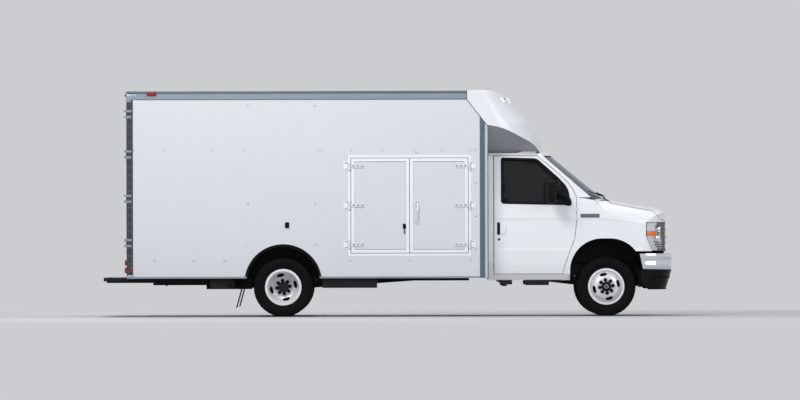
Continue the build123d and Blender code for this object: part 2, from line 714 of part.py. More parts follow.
def front_wheel(side):
    x, z, y = FRONT_AXLE_X, TYRE_RADIUS, FRONT_TRACK_Y
    rim = turned(rim_barrel(), y, x, z, 1) + turned(disc_profile(DISC_OFFSET, 40, 20), y, x, z, 1)
    rim = rim - vent_slots(y + 60, y + 150, x, z, 14)
    rim = rim + across(HUB_RADIUS, y - 15, y + DISC_OFFSET, x, z)
    rim = rim + across(56, y + DISC_OFFSET - 1, y + DISC_OFFSET + 30, x, z)
    rim = rim + across(25, y + DISC_OFFSET + 29, y + DISC_OFFSET + 38, x, z)
    for dx, dz in round_places(LUG_COUNT, LUG_CIRCLE, 97.6):
        rim = rim + across(LUG_RADIUS, y + DISC_OFFSET - 1, y + DISC_OFFSET + 28, x + dx, z + dz)
    rim = rim - across(SPINDLE_RADIUS + RUNNING, y - 20, y + DISC_OFFSET - 15, x, z)
    return for_side(rim, side), for_side(tyre(y, x), side)


def rear_wheel(side):
    x, z, y = REAR_AXLE_X, TYRE_RADIUS, DUAL_CENTRE_Y
    parts = []
    for face in (1, -1):
        centre = y + face * DISC_OFFSET
        barrel = turned(rim_barrel(), centre, x, z, 1)
        disc = turned(disc_profile(DISC_OFFSET, 55, 40), centre, x, z, -face)
        parts.append(barrel + disc)
    rim = fused(parts) - vent_slots(y - 90, y + 90, x, z, 14)
    rim = rim + across(HUB_RADIUS + 2, y - 150, y + 70, x, z)
    rim = rim + across(150, y - 190, y - 75, x, z)
    for dx, dz in round_places(LUG_COUNT, LUG_CIRCLE, 97.6):
        rim = rim + across(LUG_RADIUS, y - 75, y + 40, x + dx, z + dz)
    rim = rim - across(AXLE_RADIUS + RUNNING, y - 200, y + 40, x, z)
    tyres = shape_of([tyre(y + DISC_OFFSET, x), tyre(y - DISC_OFFSET, x)])
    return for_side(rim, side), for_side(tyres, side)


def knuckle(side):
    """Yoke around the beam's end, with the spindle."""
    x, z = FRONT_AXLE_X, TYRE_RADIUS
    yoke = upright(KINGPIN_RADIUS, z - KINGPIN_HALF, z + KINGPIN_HALF, x, KINGPIN_Y)
    for low, high in ((BOSS_HALF + 5, KINGPIN_HALF), (-KINGPIN_HALF, -BOSS_HALF - 5)):
        yoke = yoke + block(x - 32, x + 32, KINGPIN_Y - 30, 850, z + low, z + high)
    yoke = yoke + block(x - 40, x + 40, 828, 850, z - KINGPIN_HALF, z + KINGPIN_HALF)
    yoke = yoke + across(SPINDLE_RADIUS, 849, FRONT_TRACK_Y + DISC_OFFSET - 16, x, z)
    yoke = yoke + block(x - 150, x - 30, 805, 835, z - KINGPIN_HALF, z - KINGPIN_HALF + 22)
    return for_side(yoke, side)


def make_wheels(nodes):
    for name, side in (("left", 1), ("right", -1)):
        nodes["front_rim_" + name], nodes["front_tyre_" + name] = front_wheel(side)
        nodes["rear_rims_" + name], nodes["rear_tyres_" + name] = rear_wheel(side)
        nodes["knuckle_" + name] = knuckle(side)


# Chassis

def make_chassis(nodes):
    front_end, rear_end = ahead(700), BOX_REAR_X + REAR_POST_DEPTH
    web = block(rear_end, front_end, RAIL_Y - RAIL_WIDTH / 2, RAIL_Y + RAIL_WIDTH / 2, FRAME_BASE_Z, FRAME_TOP_Z)
    hollow = block(
        rear_end - 1, front_end + 1, RAIL_Y - RAIL_WIDTH / 2 - 1, RAIL_Y + RAIL_WIDTH / 2 - RAIL_SHEET,
        FRAME_BASE_Z + RAIL_SHEET, FRAME_TOP_Z - RAIL_SHEET,
    )
    frame = (web - hollow) + mirrored(web - hollow)
    reach, half = RAIL_Y + RAIL_WIDTH / 2 - 1, CROSS_WIDTH / 2
    for place in CROSS_PLACES:
        x = ahead(place)
        frame = frame + block(x - half, x + half, -reach, reach, FRAME_TOP_Z - CROSS_HEIGHT, FRAME_TOP_Z)
    for place in ENGINE_CROSS_PLACES:
        x = ahead(place)
        frame = frame + block(x - half, x + half, -reach, reach, FRAME_BASE_Z, FRAME_BASE_Z + CROSS_HEIGHT)
    horn = block(front_end - 1, ahead(900), RAIL_Y - 30, RAIL_Y + 30, BUMPER_Z[0] + 20, BUMPER_Z[0] + 90)
    horn = horn & nose_plan(BUMPER_SKIN - BUMPER_WIDER + SEAT, 500, 800, BUMPER_SHIFT)
    frame = frame + horn + mirrored(horn)
    nodes["frame"] = frame

    engine_base = FRAME_BASE_Z + CROSS_HEIGHT
    engine = block(ahead(-700), ahead(200), -260, 260, engine_base, 1080)
    gearbox = rod((ahead(-699), 0, 555), (ahead(-1250), 0, 555), 105)
    nodes["engine"] = engine + (gearbox & block(ahead(-2000), ahead(-600), -300, 300, engine_base - 110, 800))

    axle_z = TYRE_RADIUS
    tube = across(AXLE_RADIUS, -DUAL_CENTRE_Y - 38, DUAL_CENTRE_Y + 38, REAR_AXLE_X, axle_z)
    bulge = Pos(REAR_AXLE_X, 0, axle_z) * Sphere(165)
    shaft = rod((REAR_AXLE_X + 120, 0, axle_z + 8), (ahead(-1249), 0, 555), 38)
    nodes["rear_axle"] = tube + bulge + (shaft & block(REAR_AXLE_X, ahead(-1250), -100, 100, 200, 700))

    spring_y = 560.0
    leaves = []
    for name_x, reach_x in enumerate((700.0, 560.0, 400.0)):
        base = axle_z + AXLE_RADIUS + 14 * name_x
        leaves.append(leaf(reach_x, base, spring_y))
    spring = fused(leaves)
    seat_z = axle_z + AXLE_RADIUS
    pad = block(REAR_AXLE_X - 60, REAR_AXLE_X + 60, spring_y - 40, spring_y + 40, seat_z - 12, seat_z + 2)
    pad = pad - across(AXLE_RADIUS + SEAT, spring_y - 60, spring_y + 60, REAR_AXLE_X, axle_z)
    spring = spring + pad
    for end in (-700, 700):
        x = REAR_AXLE_X + end
        hanger = block(x - 35, x + 35, RAIL_Y + RAIL_WIDTH / 2, spring_y + 38, 485, 600)
        spring = spring + hanger
    nodes["leaf_springs"] = both_sides(spring)

    nodes["front_suspension"] = front_suspension(TYRE_RADIUS)

    tank = block(ahead(-5650), ahead(-4750), -370, 370, 390, FRAME_TOP_Z - CROSS_HEIGHT)
    tank = fillet(tank.edges().filter_by(Axis.X), 40)
    nodes["fuel_tank"] = tank
    nodes["exhaust"] = make_exhaust()
    nodes["battery_box"] = block(ahead(-3528), ahead(-2849), -(WALL_IN - GAP), -800, 358, FRAME_TOP_Z)


def leaf(reach, base, y):
    """One spring leaf, a bowed strip."""
    x = REAR_AXLE_X
    rise = 92.0 * (reach / 700) ** 2
    near, thick = y - 35, 15
    rear_low, front_low = (x - reach, near, base + rise), (x + reach, near, base + rise)
    rear_high, front_high = (x - reach, near, base + rise + thick), (x + reach, near, base + rise + thick)
    low = ThreePointArc(rear_low, (x, near, base), front_low)
    high = ThreePointArc(front_high, (x, near, base + thick), rear_high)
    ends = Line(front_low, front_high) + Line(rear_high, rear_low)
    return extrude(make_face(low + high + ends), amount=70, dir=(0, 1, 0))


def front_suspension(z):
    """Two crossing beams, each with a radius arm and a coil spring in its seat."""
    whole = []
    for side in (1, -1):
        boss = upright(BOSS_RADIUS, z - BOSS_HALF, z + BOSS_HALF, FRONT_AXLE_X, KINGPIN_Y)
        bore = upright(KINGPIN_RADIUS + RUNNING, z - 100, z + 100, FRONT_AXLE_X, KINGPIN_Y)
        points = ((-32, KINGPIN_Y - 10), (32, KINGPIN_Y - 10), (80, -250), (20, -250))
        edge = Polyline(*[(ahead(x), y, z - 38) for x, y in points], close=True)
        beam = extrude(make_face(edge), amount=70, dir=(0, 0, 1)) + boss - bore
        bracket = block(ahead(25), ahead(75), -250, -200, z + 31, FRAME_BASE_Z + 20)
        bracket = bracket - block(ahead(-41), ahead(40), -500, 500, FRAME_BASE_Z, FRAME_BASE_Z + 100)
        arm = rod((ahead(-20), 520, z), (ahead(-900), 440, 470), 22)
        arm = arm + block(ahead(-930), ahead(-880), RAIL_Y - 25, RAIL_Y + 25, 455, FRAME_BASE_Z)
        coil = upright(58, z + 30, 640, FRONT_AXLE_X, 540)
        seat = block(ahead(-65), ahead(65), RAIL_Y + RAIL_WIDTH / 2, 605, 639, 655)
        reach = beam + bracket
        if side < 0:
            # The right-hand beam runs behind the left one
            reach = mirror(reach, about=Plane.YZ.offset(FRONT_AXLE_X))
        whole.append(for_side(reach + arm + coil + seat, side))
    return shape_of(whole)


def make_exhaust():
    """Pipe between the rails, silencer, and tailpipe out behind the right rear wheels."""
    y, z, turn = PIPE_Y, PIPE_Z, ahead(PIPE_TURN_X)
    start = (ahead(-800), y, z)
    path = FilletPolyline(
        start, (turn + 150, y, z), (turn, y, PIPE_LOW_Z), (turn, -720, PIPE_LOW_Z), radius=70
    )
    pipe = sweep(Plane(origin=start, z_dir=(-1, 0, 0)) * Circle(PIPE_RADIUS), path=path)
    can = rod((ahead(CAN_X[0]), y, z), (ahead(CAN_X[1]), y, z), CAN_RADIUS)
    middle = sum(CAN_X) / 2
    hanger = block(ahead(middle - 20), ahead(middle + 20), -RAIL_Y + RAIL_WIDTH / 2 - 1, y, z - 8, z + 8)
    (x0, x1), across_y, heights = TAIL_CAN
    tail_can = block(ahead(x0), ahead(x1), *across_y, *heights)
    tail_can = fillet(tail_can.edges().filter_by(Axis.Y), 50)
    tail_hang = block(turn - 120, turn - 80, -900, -860, heights[1] - 10, FRAME_TOP_Z)
    out_y = across_y[0]
    tip = across(TAIL_TIP_RADIUS, out_y - 40, out_y + 1, turn, TAIL_TIP_Z)
    tip = tip - across(TAIL_TIP_RADIUS - 4, out_y - 41, out_y - 5, turn, TAIL_TIP_Z)
    return pipe + can + hanger + tail_can + tail_hang + tip


# Load box

def wheel_tub_outer(shrink):
    x = REAR_AXLE_X
    tub = across(ARCH_RADIUS - shrink, TUB_INNER_Y + shrink, WALL_OUT, x, ARCH_Z)
    return tub & block(x - 600, x + 600, 0, 1300, BOX_BOTTOM_Z, 1000)


def edge_line(x):
    """Height of the nose cap's slanted rear edge at a distance ahead of the front axle."""
    foot = -(CAB_BACK + CAB_BOX_GAP)
    return CAP_EDGE_FOOT_Z + (CAP_EDGE_TOP_Z - CAP_EDGE_FOOT_Z) * (foot - x) / (foot + CAP_REAR)


def make_box(nodes):
    front = -(CAB_BACK + CAB_BOX_GAP)
    rear = front - BOX_LENGTH
    post_back = front - FRONT_POST_DEPTH
    wall_rear = rear + REAR_POST_DEPTH
    wall_foot = BOX_BOTTOM_Z + BOTTOM_RAIL_HEIGHT

    # Walls, with the wheel arch and, on the right, the door opening
    outline = [
        (wall_rear, wall_foot), (wall_rear, RAIL_BASE_Z), (-CAP_REAR, RAIL_BASE_Z),
        (-CAP_REAR, CAP_EDGE_TOP_Z), (post_back, edge_line(post_back)), (post_back, wall_foot),
    ]
    wall = side_prism(outline, WALL_IN, WALL_OUT)
    arch = across(ARCH_RADIUS, WALL_IN - 50, BOX_HALF + 50, REAR_AXLE_X, ARCH_Z)
    wall = wall - arch
    nodes["box_wall_left"] = wall
    doorway = block(ahead(-SIDE_DOOR_REAR), ahead(-SIDE_DOOR_FRONT), WALL_IN - 50, BOX_HALF + 50, *SIDE_DOOR_Z)
    nodes["box_wall_right"] = mirrored(wall - doorway)

    # Aluminium edges: top rails, bottom rails and front posts
    top_rail = block(BOX_REAR_X + REAR_POST_DEPTH, ahead(-CAP_REAR), WALL_IN - 5, BOX_HALF, RAIL_BASE_Z, BOX_TOP_Z)
    foot_rail = block(
        BOX_REAR_X + REAR_POST_DEPTH, BOX_FRONT_X - FRONT_POST_DEPTH, WALL_IN, BOX_HALF,
        BOX_BOTTOM_Z, BOX_BOTTOM_Z + BOTTOM_RAIL_HEIGHT,
    )
    foot_rail = foot_rail - arch
    post = side_prism(
        [
            (post_back, BOX_BOTTOM_Z), (post_back, edge_line(post_back)), (front, edge_line(front)),
            (front, BOX_BOTTOM_Z),
        ],
        WALL_IN, BOX_HALF,
    )
    nodes["side_rails"] = both_sides(shape_of([top_rail, foot_rail]))
    nodes["front_posts"] = both_sides(post)

    # Rear frame: posts, header and sill
    x0, x1 = BOX_REAR_X, BOX_REAR_X + REAR_POST_DEPTH
    ring = block(x0, x1, -BOX_HALF, BOX_HALF, BOX_BOTTOM_Z, BOX_TOP_Z)
    inner_y = BOX_HALF - REAR_POST_WIDTH
    ring = ring - block(x0 - 1, x1 + 1, -inner_y, inner_y, FLOOR_TOP_Z, RAIL_BASE_Z)
    ring = ring - block(x0 - 1, x1 + 1, -inner_y, inner_y, BOX_BOTTOM_Z - 1, FRAME_TOP_Z)
    nodes["rear_frame"] = ring

    # Roof and front wall
    rail_in = WALL_IN - 5
    roof_top = BOX_TOP_Z - ROOF_DROP
    nodes["box_roof"] = block(x1, ahead(-CAP_REAR), -rail_in, rail_in, roof_top - ROOF_THICK, roof_top)
    wall_back = BOX_FRONT_X - WALL
    nodes["box_front_wall"] = block(wall_back, BOX_FRONT_X, -WALL_IN, WALL_IN, FRAME_TOP_Z, CAP_EDGE_FOOT_Z)

    # Floor on cross sills, cut round the wheel tubs
    floor = block(BOX_REAR_X + REAR_POST_DEPTH, BOX_FRONT_X - WALL, -WALL_IN, WALL_IN, FLOOR_BASE_Z, FLOOR_TOP_Z)
    floor_length = BOX_LENGTH - REAR_POST_DEPTH - WALL - SILL_LENGTH
    for i in range(SILL_COUNT):
        x = BOX_REAR_X + REAR_POST_DEPTH + floor_length * i / (SILL_COUNT - 1)
        floor = floor + block(x, x + SILL_LENGTH, -WALL_IN, WALL_IN, FRAME_TOP_Z, FLOOR_BASE_Z + 1)
    tub = wheel_tub_outer(SEAT)
    cut = wheel_tub_outer(0)
    floor = floor - cut - mirrored(cut)
    nodes["box_floor"] = floor
    hollow = across(ARCH_RADIUS - TUB_SHEET, TUB_INNER_Y + TUB_SHEET, WALL_OUT + 1, REAR_AXLE_X, ARCH_Z)
    tub = tub - hollow
    nodes["wheel_tubs"] = both_sides(tub)

    # Mud flaps
    sheet = [(-x - WHEELBASE, z) for x, z in FLAP_OUTLINE]
    flap = side_prism(sheet, FLAP_INNER_Y, WALL_IN - 10)
    bracket_x = REAR_AXLE_X - FLAP_OUTLINE[0][0]
    low = FLAP_OUTLINE[0][1] - 2
    flap = flap + block(bracket_x - 5, bracket_x + 25, FLAP_INNER_Y, WALL_IN - 10, low, FLOOR_BASE_Z)
    nodes["mud_flaps"] = both_sides(flap - floor)


def cap_level(z, front, end, end_y, start, inset):
    """Plan outline of the nose cap at one level, drawn in by inset, the inner one further to the rear."""
    wide = BOX_HALF - inset
    back = ahead(-CAP_REAR - (40 if inset else 0))
    fx, ex, sx = ahead(front - inset), ahead(end - inset), ahead(start - inset * 0.3)
    ey = end_y - inset * 0.3
    mx = ex + (sx - ex) * 0.30
    my = ey + (wide - ey) * 0.74
    return make_face(
        ThreePointArc((ex, -ey, z), (fx, 0, z), (ex, ey, z))
        + ThreePointArc((ex, ey, z), (mx, my, z), (sx, wide, z))
        + Polyline((sx, wide, z), (back, wide, z), (back, -wide, z), (sx, -wide, z))
        + ThreePointArc((sx, -wide, z), (mx, -my, z), (ex, -ey, z))
    )


def soffit_cut(rise):
    """Wedges under the cap's sides, from its lower edge in to the cab roof."""
    faces = []
    for x, edge_z, edge_y in CAP_LIP:
        slope = (edge_z - CAP_SOFFIT_Z) / (edge_y - CAP_SOFFIT_Y)
        inner = (ahead(x), CAP_SOFFIT_Y - 60, CAP_SOFFIT_Z - 60 * slope + rise)
        far = (ahead(x), 1500, CAP_SOFFIT_Z + slope * (1500 - CAP_SOFFIT_Y) + rise)
        faces.append(make_face(Polyline(inner, far, (ahead(x), 1500, 1900 + rise), close=True)))
    wedge = loft(faces, ruled=True)
    return wedge + mirrored(wedge)


def make_nose_cap(nodes):
    """Shell over the cab, open to the load box and standing on the cab's roof."""
    brow = [(CAP_TOP_Z - depth, *rest) for depth, *rest in CAP_BROW_LEVELS]
    outer = loft([cap_level(*level, 0) for level in [*CAP_FOOT_LEVELS, *brow]], ruled=True)
    floor = (CAP_FLOOR_Z, *CAP_FOOT_LEVELS[1][1:])
    drop = CAP_SKIN / 2
    drawn = [(z - drop, *rest) for z, *rest in [floor, *brow[:-1]]]
    drawn.append((CAP_TOP_Z - CAP_SKIN, *CAP_BROW_LEVELS[-1][1:]))
    inner = loft([cap_level(*level, CAP_SKIN) for level in drawn], ruled=True)
    front = -(CAB_BACK + CAB_BOX_GAP)
    far = -CAP_REAR - 500
    behind = side_prism(
        [
            (far, 1900), (front, 1900), (front, CAP_EDGE_FOOT_Z), (-CAP_REAR, CAP_EDGE_TOP_Z),
            (-CAP_REAR, CAP_TOP_Z + 100), (far, CAP_TOP_Z + 100),
        ],
        -1400, 1400,
    )
    cap = (outer - soffit_cut(0)) - (inner - soffit_cut(CAP_SKIN * 1.3)) - behind - cab_form(-2 * SEAT)
    nodes["nose_cap"] = largest(cap)


# Hinges and doors of the load box

def strap_hinge(leaf_start, reach, plate_side):
    """Fixed and moving halves about a pin at the origin, +X along the leaf, +Y out of the wall."""
    half = HINGE_HEIGHT / 2
    strap_half = STRAP_HEIGHT / 2
    pin = upright(PIN_RADIUS, -half, half, 0, 0)
    fixed = pin
    for low, high in ((-half, -strap_half - 1), (strap_half + 1, half)):
        barrel = upright(BARREL_RADIUS, low, high, 0, 0)
        if plate_side:
            barrel = barrel + block(8, 14, -PIN_STANDOFF - 60, 0, low, high)
        else:
            barrel = barrel + block(-BARREL_RADIUS - 8, 0, -PIN_STANDOFF, -4, low, high)
        fixed = fixed + barrel
    if not plate_side:
        plate = (-BARREL_RADIUS - HINGE_PLATE, -BARREL_RADIUS - 2)
        fixed = fixed + block(*plate, -PIN_STANDOFF, -PIN_STANDOFF + STRAP_THICK, -half, half)
    strap = upright(BARREL_RADIUS, -strap_half, strap_half, 0, 0)
    strap = strap + block(0, reach, -2 * STRAP_THICK, -STRAP_THICK, -strap_half, strap_half)
    strap = strap + block(leaf_start + 2, reach, -PIN_STANDOFF, -STRAP_THICK, -strap_half, strap_half)
    strap = strap - upright(PIN_RADIUS + RUNNING, -half, half, 0, 0)
    return fixed, strap


def placed(shape, origin, along, hand):
    """Local shape moved to a pin, with its X along the leaf, mirrored where hand is -1."""
    if hand < 0:
        shape = mirror(shape, about=Plane.XZ)
    return Plane(origin=origin, x_dir=along, z_dir=(0, 0, 1)).location * shape


def make_doors(nodes):
    fixed = {"side": [], "rear": []}
    low, high = SIDE_DOOR_Z
    middle = (-SIDE_DOOR_REAR - SIDE_DOOR_FRONT) / 2
    pin_y = -(WALL_OUT + PIN_STANDOFF)
    for name, edge, along, hand in (
        ("side_door_rear", -SIDE_DOOR_REAR, 1, -1), ("side_door_front", -SIDE_DOOR_FRONT, -1, 1)
    ):
        hinge_edge = edge + along * GAP
        free_edge = middle - along * GAP / 2
        edges = (ahead(hinge_edge), ahead(free_edge))
        leaf_body = block(*edges, -WALL_OUT, -WALL_OUT + DOOR_THICK, low + GAP, high - GAP)
        border = leaf_body & block(ahead(-9000), ahead(9000), -WALL_OUT, -WALL_OUT + 5, 0, 3000)
        inset = 45.0
        x0, x1 = sorted((hinge_edge + along * inset, free_edge - along * inset))
        field = block(ahead(x0), ahead(x1), -1300, -WALL_OUT, low + inset, high - inset)
        trim = Pos(0, -TRIM_PROUD, 0) * border - field
        leaf_body = leaf_body + trim
        for height in HINGE_HEIGHTS:
            held, strap = strap_hinge(PIN_SETBACK + GAP, STRAP_REACH, False)
            origin = (ahead(edge - along * PIN_SETBACK), pin_y, low + height)
            fixed["side"].append(placed(held, origin, (along, 0, 0), hand))
            leaf_body = leaf_body + placed(strap, origin, (along, 0, 0), hand)
        nodes[name] = leaf_body
    flange = 32.0
    rear, front = -SIDE_DOOR_REAR, -SIDE_DOOR_FRONT
    outer_y, inner_y = -BOX_HALF, -WALL_OUT
    surround = block(
        ahead(rear - flange), ahead(front + flange), outer_y, inner_y, low - flange, high + flange
    ) - block(ahead(rear), ahead(front), outer_y - 1, inner_y + 1, low, high)
    half = HINGE_HEIGHT / 2 + 2
    hinge_room = [
        block(ahead(edge) - 80, ahead(edge) + 80, outer_y - 1, inner_y + 1, low + h - half, low + h + half)
        for h in HINGE_HEIGHTS for edge in (rear, front)
    ]
    for room in hinge_room:
        surround = surround - room
    nodes["side_door_frame"] = shape_of([surround, *fixed["side"]])

    # Rear doors swing right round beside the walls
    leaf_edge = BOX_HALF - REAR_POST_WIDTH - GAP
    pin_side = BOX_HALF + PIN_SETBACK + 2
    for name, side, hand in (("left", 1, -1), ("right", -1, 1)):
        heights = (FLOOR_TOP_Z + GAP, RAIL_BASE_Z - GAP)
        leaf_body = block(BOX_REAR_X, BOX_REAR_X + DOOR_THICK, side * GAP / 2, side * leaf_edge, *heights)
        for height in REAR_HINGE_HEIGHTS:
            held, strap = strap_hinge(pin_side - leaf_edge, 330, True)
            origin = (BOX_REAR_X - PIN_STANDOFF, side * pin_side, FLOOR_TOP_Z + height)
            fixed["rear"].append(placed(held, origin, (0, -side, 0), hand))
            leaf_body = leaf_body + placed(strap, origin, (0, -side, 0), hand)
        nodes["rear_door_" + name] = leaf_body
    nodes["rear_hinges"] = shape_of(fixed["rear"])


# Front end trim, cab inside, step and lamps

def make_front_trim(nodes):
    outer = nose_plan(-BUMPER_WIDER, *BUMPER_Z, BUMPER_SHIFT)
    inner = nose_plan(BUMPER_SKIN - BUMPER_WIDER, *BUMPER_Z, BUMPER_SHIFT)
    low, high = BUMPER_Z
    ends = side_prism([(BUMPER_REAR, high), (900, high), (900, low), (BUMPER_REAR + 45, low)], -1300, 1300)
    nodes["front_bumper"] = (outer - inner) & ends
    low, high = VALANCE_Z
    forms = []
    for inset in (VALANCE_INSET, VALANCE_INSET + BUMPER_SKIN):
        faces = [
            nose_face(inset, front - NOSE_X + VALANCE_INSET, z)
            for front, z in zip(VALANCE_FRONT, VALANCE_Z)
        ]
        forms.append(loft(faces, ruled=True))
    band = forms[0] - forms[1]
    ends = side_prism(
        [(VALANCE_REAR, high), (900, high), (900, low), (520, low), (VALANCE_REAR, 430)], -1300, 1300
    )
    nodes["front_valance"] = band & ends


def make_cab_inside(nodes):
    """Dashboard with column and wheel, engine cover, and two seats."""
    room = cab_form(CAB_SKIN + 1)
    dash = side_prism(DASH_OUTLINE, -940, 940)
    wheel_x, wheel_z = STEERING_WHEEL
    hub = (ahead(wheel_x), DRIVER_Y, wheel_z)
    tilt = Plane(origin=hub, x_dir=(0, 1, 0), z_dir=(-0.85, 0, 0.53))
    ring = tilt * Torus(STEERING_RADIUS, STEERING_TUBE)
    spokes = tilt * Box(2 * STEERING_RADIUS - STEERING_TUBE, 34, STEERING_TUBE)
    column = rod(hub, (ahead(wheel_x + 190), DRIVER_Y, wheel_z - 118), 32)
    half, top = TUNNEL_HALF - SEAT, TUNNEL_TOP_Z - SEAT
    rear, front = ahead(COVER_X[0]), ahead(COVER_X[1])
    cover = block(rear + SEAT, front, -half, half, FLOOR_Z, top)
    hollow = block(rear + COVER_SHEET, front + 30, COVER_SHEET - half, half - COVER_SHEET, 600, top - COVER_SHEET)
    nodes["dashboard"] = (dash & room) + ring + spokes + column + (cover - hollow)

    seats, cushions = [], []
    base_z = FLOOR_Z + CAB_FLOOR_THICK
    low, high = CUSHION_Z
    base_x = [ahead(x) for x in SEAT_BASE_X]
    cushion_x = [ahead(x) for x in CUSHION_X]
    back_outline = [(x, high + SEAT + rise) for x, rise in SEAT_BACK]
    for y in (-SEAT_Y, SEAT_Y):
        seats.append(block(*base_x, y - SEAT_BASE_HALF, y + SEAT_BASE_HALF, base_z, low))
        cushions.append(block(*cushion_x, y - SEAT_HALF, y + SEAT_HALF, low + SEAT, high))
        cushions.append(side_prism(back_outline, y - SEAT_HALF, y + SEAT_HALF))
    nodes["seat_bases"] = shape_of(seats)
    nodes["seat_cushions"] = shape_of(cushions)


def make_rear_step(nodes):
    """Step plate on two arms of the frame, with a tow ball's bore and two holes for a plate."""
    rear = BOX_REAR_X - STEP_REACH
    low, high = STEP_Z
    step = block(rear, BOX_REAR_X - GAP, -STEP_HALF, STEP_HALF, low, high)
    rail_in, rail_out = RAIL_Y - RAIL_WIDTH / 2, RAIL_Y + RAIL_WIDTH / 2
    arm = block(rear + 20, ahead(STEP_ARM_FRONT), rail_in, rail_out, STEP_ARM_Z, FRAME_BASE_Z)
    arm = arm - block(rear - 1, BOX_REAR_X - 5, rail_in - 10, rail_out + 10, high - 1, 600)
    step = step + arm + mirrored(arm)
    for y in (-PLATE_HOLE_Y, PLATE_HOLE_Y):
        step = step - rod((rear - 1, y, PLATE_HOLE_Z), (rear + 30, y, PLATE_HOLE_Z), PLATE_HOLE_RADIUS)
    nodes["rear_step"] = step - upright(TOW_HOLE_RADIUS, 400, 500, rear + TOW_HOLE_REACH, 0)


def make_lamps(nodes):
    """Marker lamps on the header, tail lamps on the posts, and one lamp on each top rail."""
    back, face = BOX_REAR_X - LAMP_PROUD, BOX_REAR_X
    lamps = []
    post_y = BOX_HALF - REAR_POST_WIDTH / 2
    for y in (-post_y, post_y, *MARKER_PLACES):
        lamps.append(block(back, face, y - MARKER_HALF, y + MARKER_HALF, BOX_TOP_Z - 65, BOX_TOP_Z - 40))
    for y in (-post_y, post_y):
        for z in TAIL_LAMP_PLACES:
            lamps.append(block(back, face, y - TAIL_LAMP_HALF, y + TAIL_LAMP_HALF, z, z + TAIL_LAMP_HEIGHT))
    rail_x = [BOX_REAR_X + x for x in RAIL_LAMP_X]
    rail_lamp = block(*rail_x, BOX_HALF, BOX_HALF + 14, BOX_TOP_Z - 60, BOX_TOP_Z - 6)
    lamps.extend([rail_lamp, mirrored(rail_lamp)])
    nodes["rear_lamps"] = shape_of(lamps)


def make_truck():
    nodes = {}
    make_chassis(nodes)
    make_wheels(nodes)
    make_cab(nodes)
    make_liners(nodes)
    make_front_trim(nodes)
    make_cab_inside(nodes)
    make_box(nodes)
    make_nose_cap(nodes)
    make_doors(nodes)
    make_rear_step(nodes)
    make_lamps(nodes)
    return nodes


os.makedirs("parts", exist_ok=True)
for name, shape in make_truck().items():
    export_step(Compound(shape.solids()), "parts/" + name + ".step")
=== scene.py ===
import json
import math

import bmesh
import bpy
from mathutils import Matrix, Vector


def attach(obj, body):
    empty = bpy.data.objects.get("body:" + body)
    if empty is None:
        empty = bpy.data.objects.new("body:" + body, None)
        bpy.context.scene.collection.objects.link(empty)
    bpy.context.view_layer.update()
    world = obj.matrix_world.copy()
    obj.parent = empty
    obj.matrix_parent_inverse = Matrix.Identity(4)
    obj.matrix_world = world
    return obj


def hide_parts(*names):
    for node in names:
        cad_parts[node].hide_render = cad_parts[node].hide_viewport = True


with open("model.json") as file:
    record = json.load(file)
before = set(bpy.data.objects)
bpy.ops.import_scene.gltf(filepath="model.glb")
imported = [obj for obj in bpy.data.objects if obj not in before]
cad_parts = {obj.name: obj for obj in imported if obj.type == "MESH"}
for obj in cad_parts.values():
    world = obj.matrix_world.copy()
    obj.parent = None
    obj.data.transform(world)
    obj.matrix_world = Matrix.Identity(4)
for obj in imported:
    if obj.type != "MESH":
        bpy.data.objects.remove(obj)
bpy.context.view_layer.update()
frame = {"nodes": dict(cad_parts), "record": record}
nodes = frame["nodes"]

# Places shared with the part's source, in metres
FRONT_X, REAR_X = 2.6930, -1.3200
BOX_FRONT, BOX_REAR = 1.2185, -3.2610
BOX_HALF, BOX_TOP = 1.219, 2.802
WALL_OUT, WALL_IN = 1.216, 1.176
FLOOR_TOP = 0.770
TYRE_RADIUS = 0.368
FRONT_TRACK, DUAL_CENTRE = 0.8815, 0.950
DISC_OFFSET = 0.134
LUG_CIRCLE = 0.08255

SIDES = (("left", 1), ("right", -1))
RIGHT = (0, -1, 0)
FORWARD = (1, 0, 0)

# The photo's scale at the cab's side and at the box's side, for placing what is seen there
PHOTO_SIZE = (800, 400)
MIDDLE_X = 0.1310
CAB_PX, BOX_PX = 0.01243, 0.01240
EYE_Z, EYE_ROW = 1.013, 235
EYE_DISTANCE = 100.0


def cab_x(px):
    return MIDDLE_X + (px - PHOTO_SIZE[0] / 2) * CAB_PX


def cab_z(py):
    return EYE_Z + (EYE_ROW - py) * CAB_PX


def box_x(px):
    return MIDDLE_X + (px - PHOTO_SIZE[0] / 2) * BOX_PX


def box_z(py):
    return EYE_Z + (EYE_ROW - py) * BOX_PX


def ahead(mm):
    """Metres along the truck of a distance ahead of the front axle, in millimetres."""
    return FRONT_X + mm * 0.001


def places(start, stop, gap):
    """Places a gap apart, from start to before stop."""
    while start < stop:
        yield start
        start += gap


# Materials

GRIME = (0.23, 0.21, 0.19, 1)
LOOKS = {}


def node_of(tree, kind, *fed, settings=None, **named):
    """A shader node. Its inputs, in order or by name, take values or the outputs of other nodes."""
    node = tree.nodes.new("ShaderNode" + kind)
    for key, value in (settings or {}).items():
        setattr(node, key, value)
    pairs = list(zip(node.inputs, fed)) + [(node.inputs[k.replace("_", " ")], v) for k, v in named.items()]
    for socket, value in pairs:
        if isinstance(value, bpy.types.NodeSocket):
            tree.links.new(value, socket)
        else:
            socket.default_value = value
    return node


def colour_mix(tree, factor, a, b):
    return node_of(tree, "Mix", settings={"data_type": "RGBA"}, Factor=factor, A=a, B=b).outputs["Result"]


def rgba(colour, k):
    return tuple(min(1.0, c * k) for c in colour) + (1.0,)


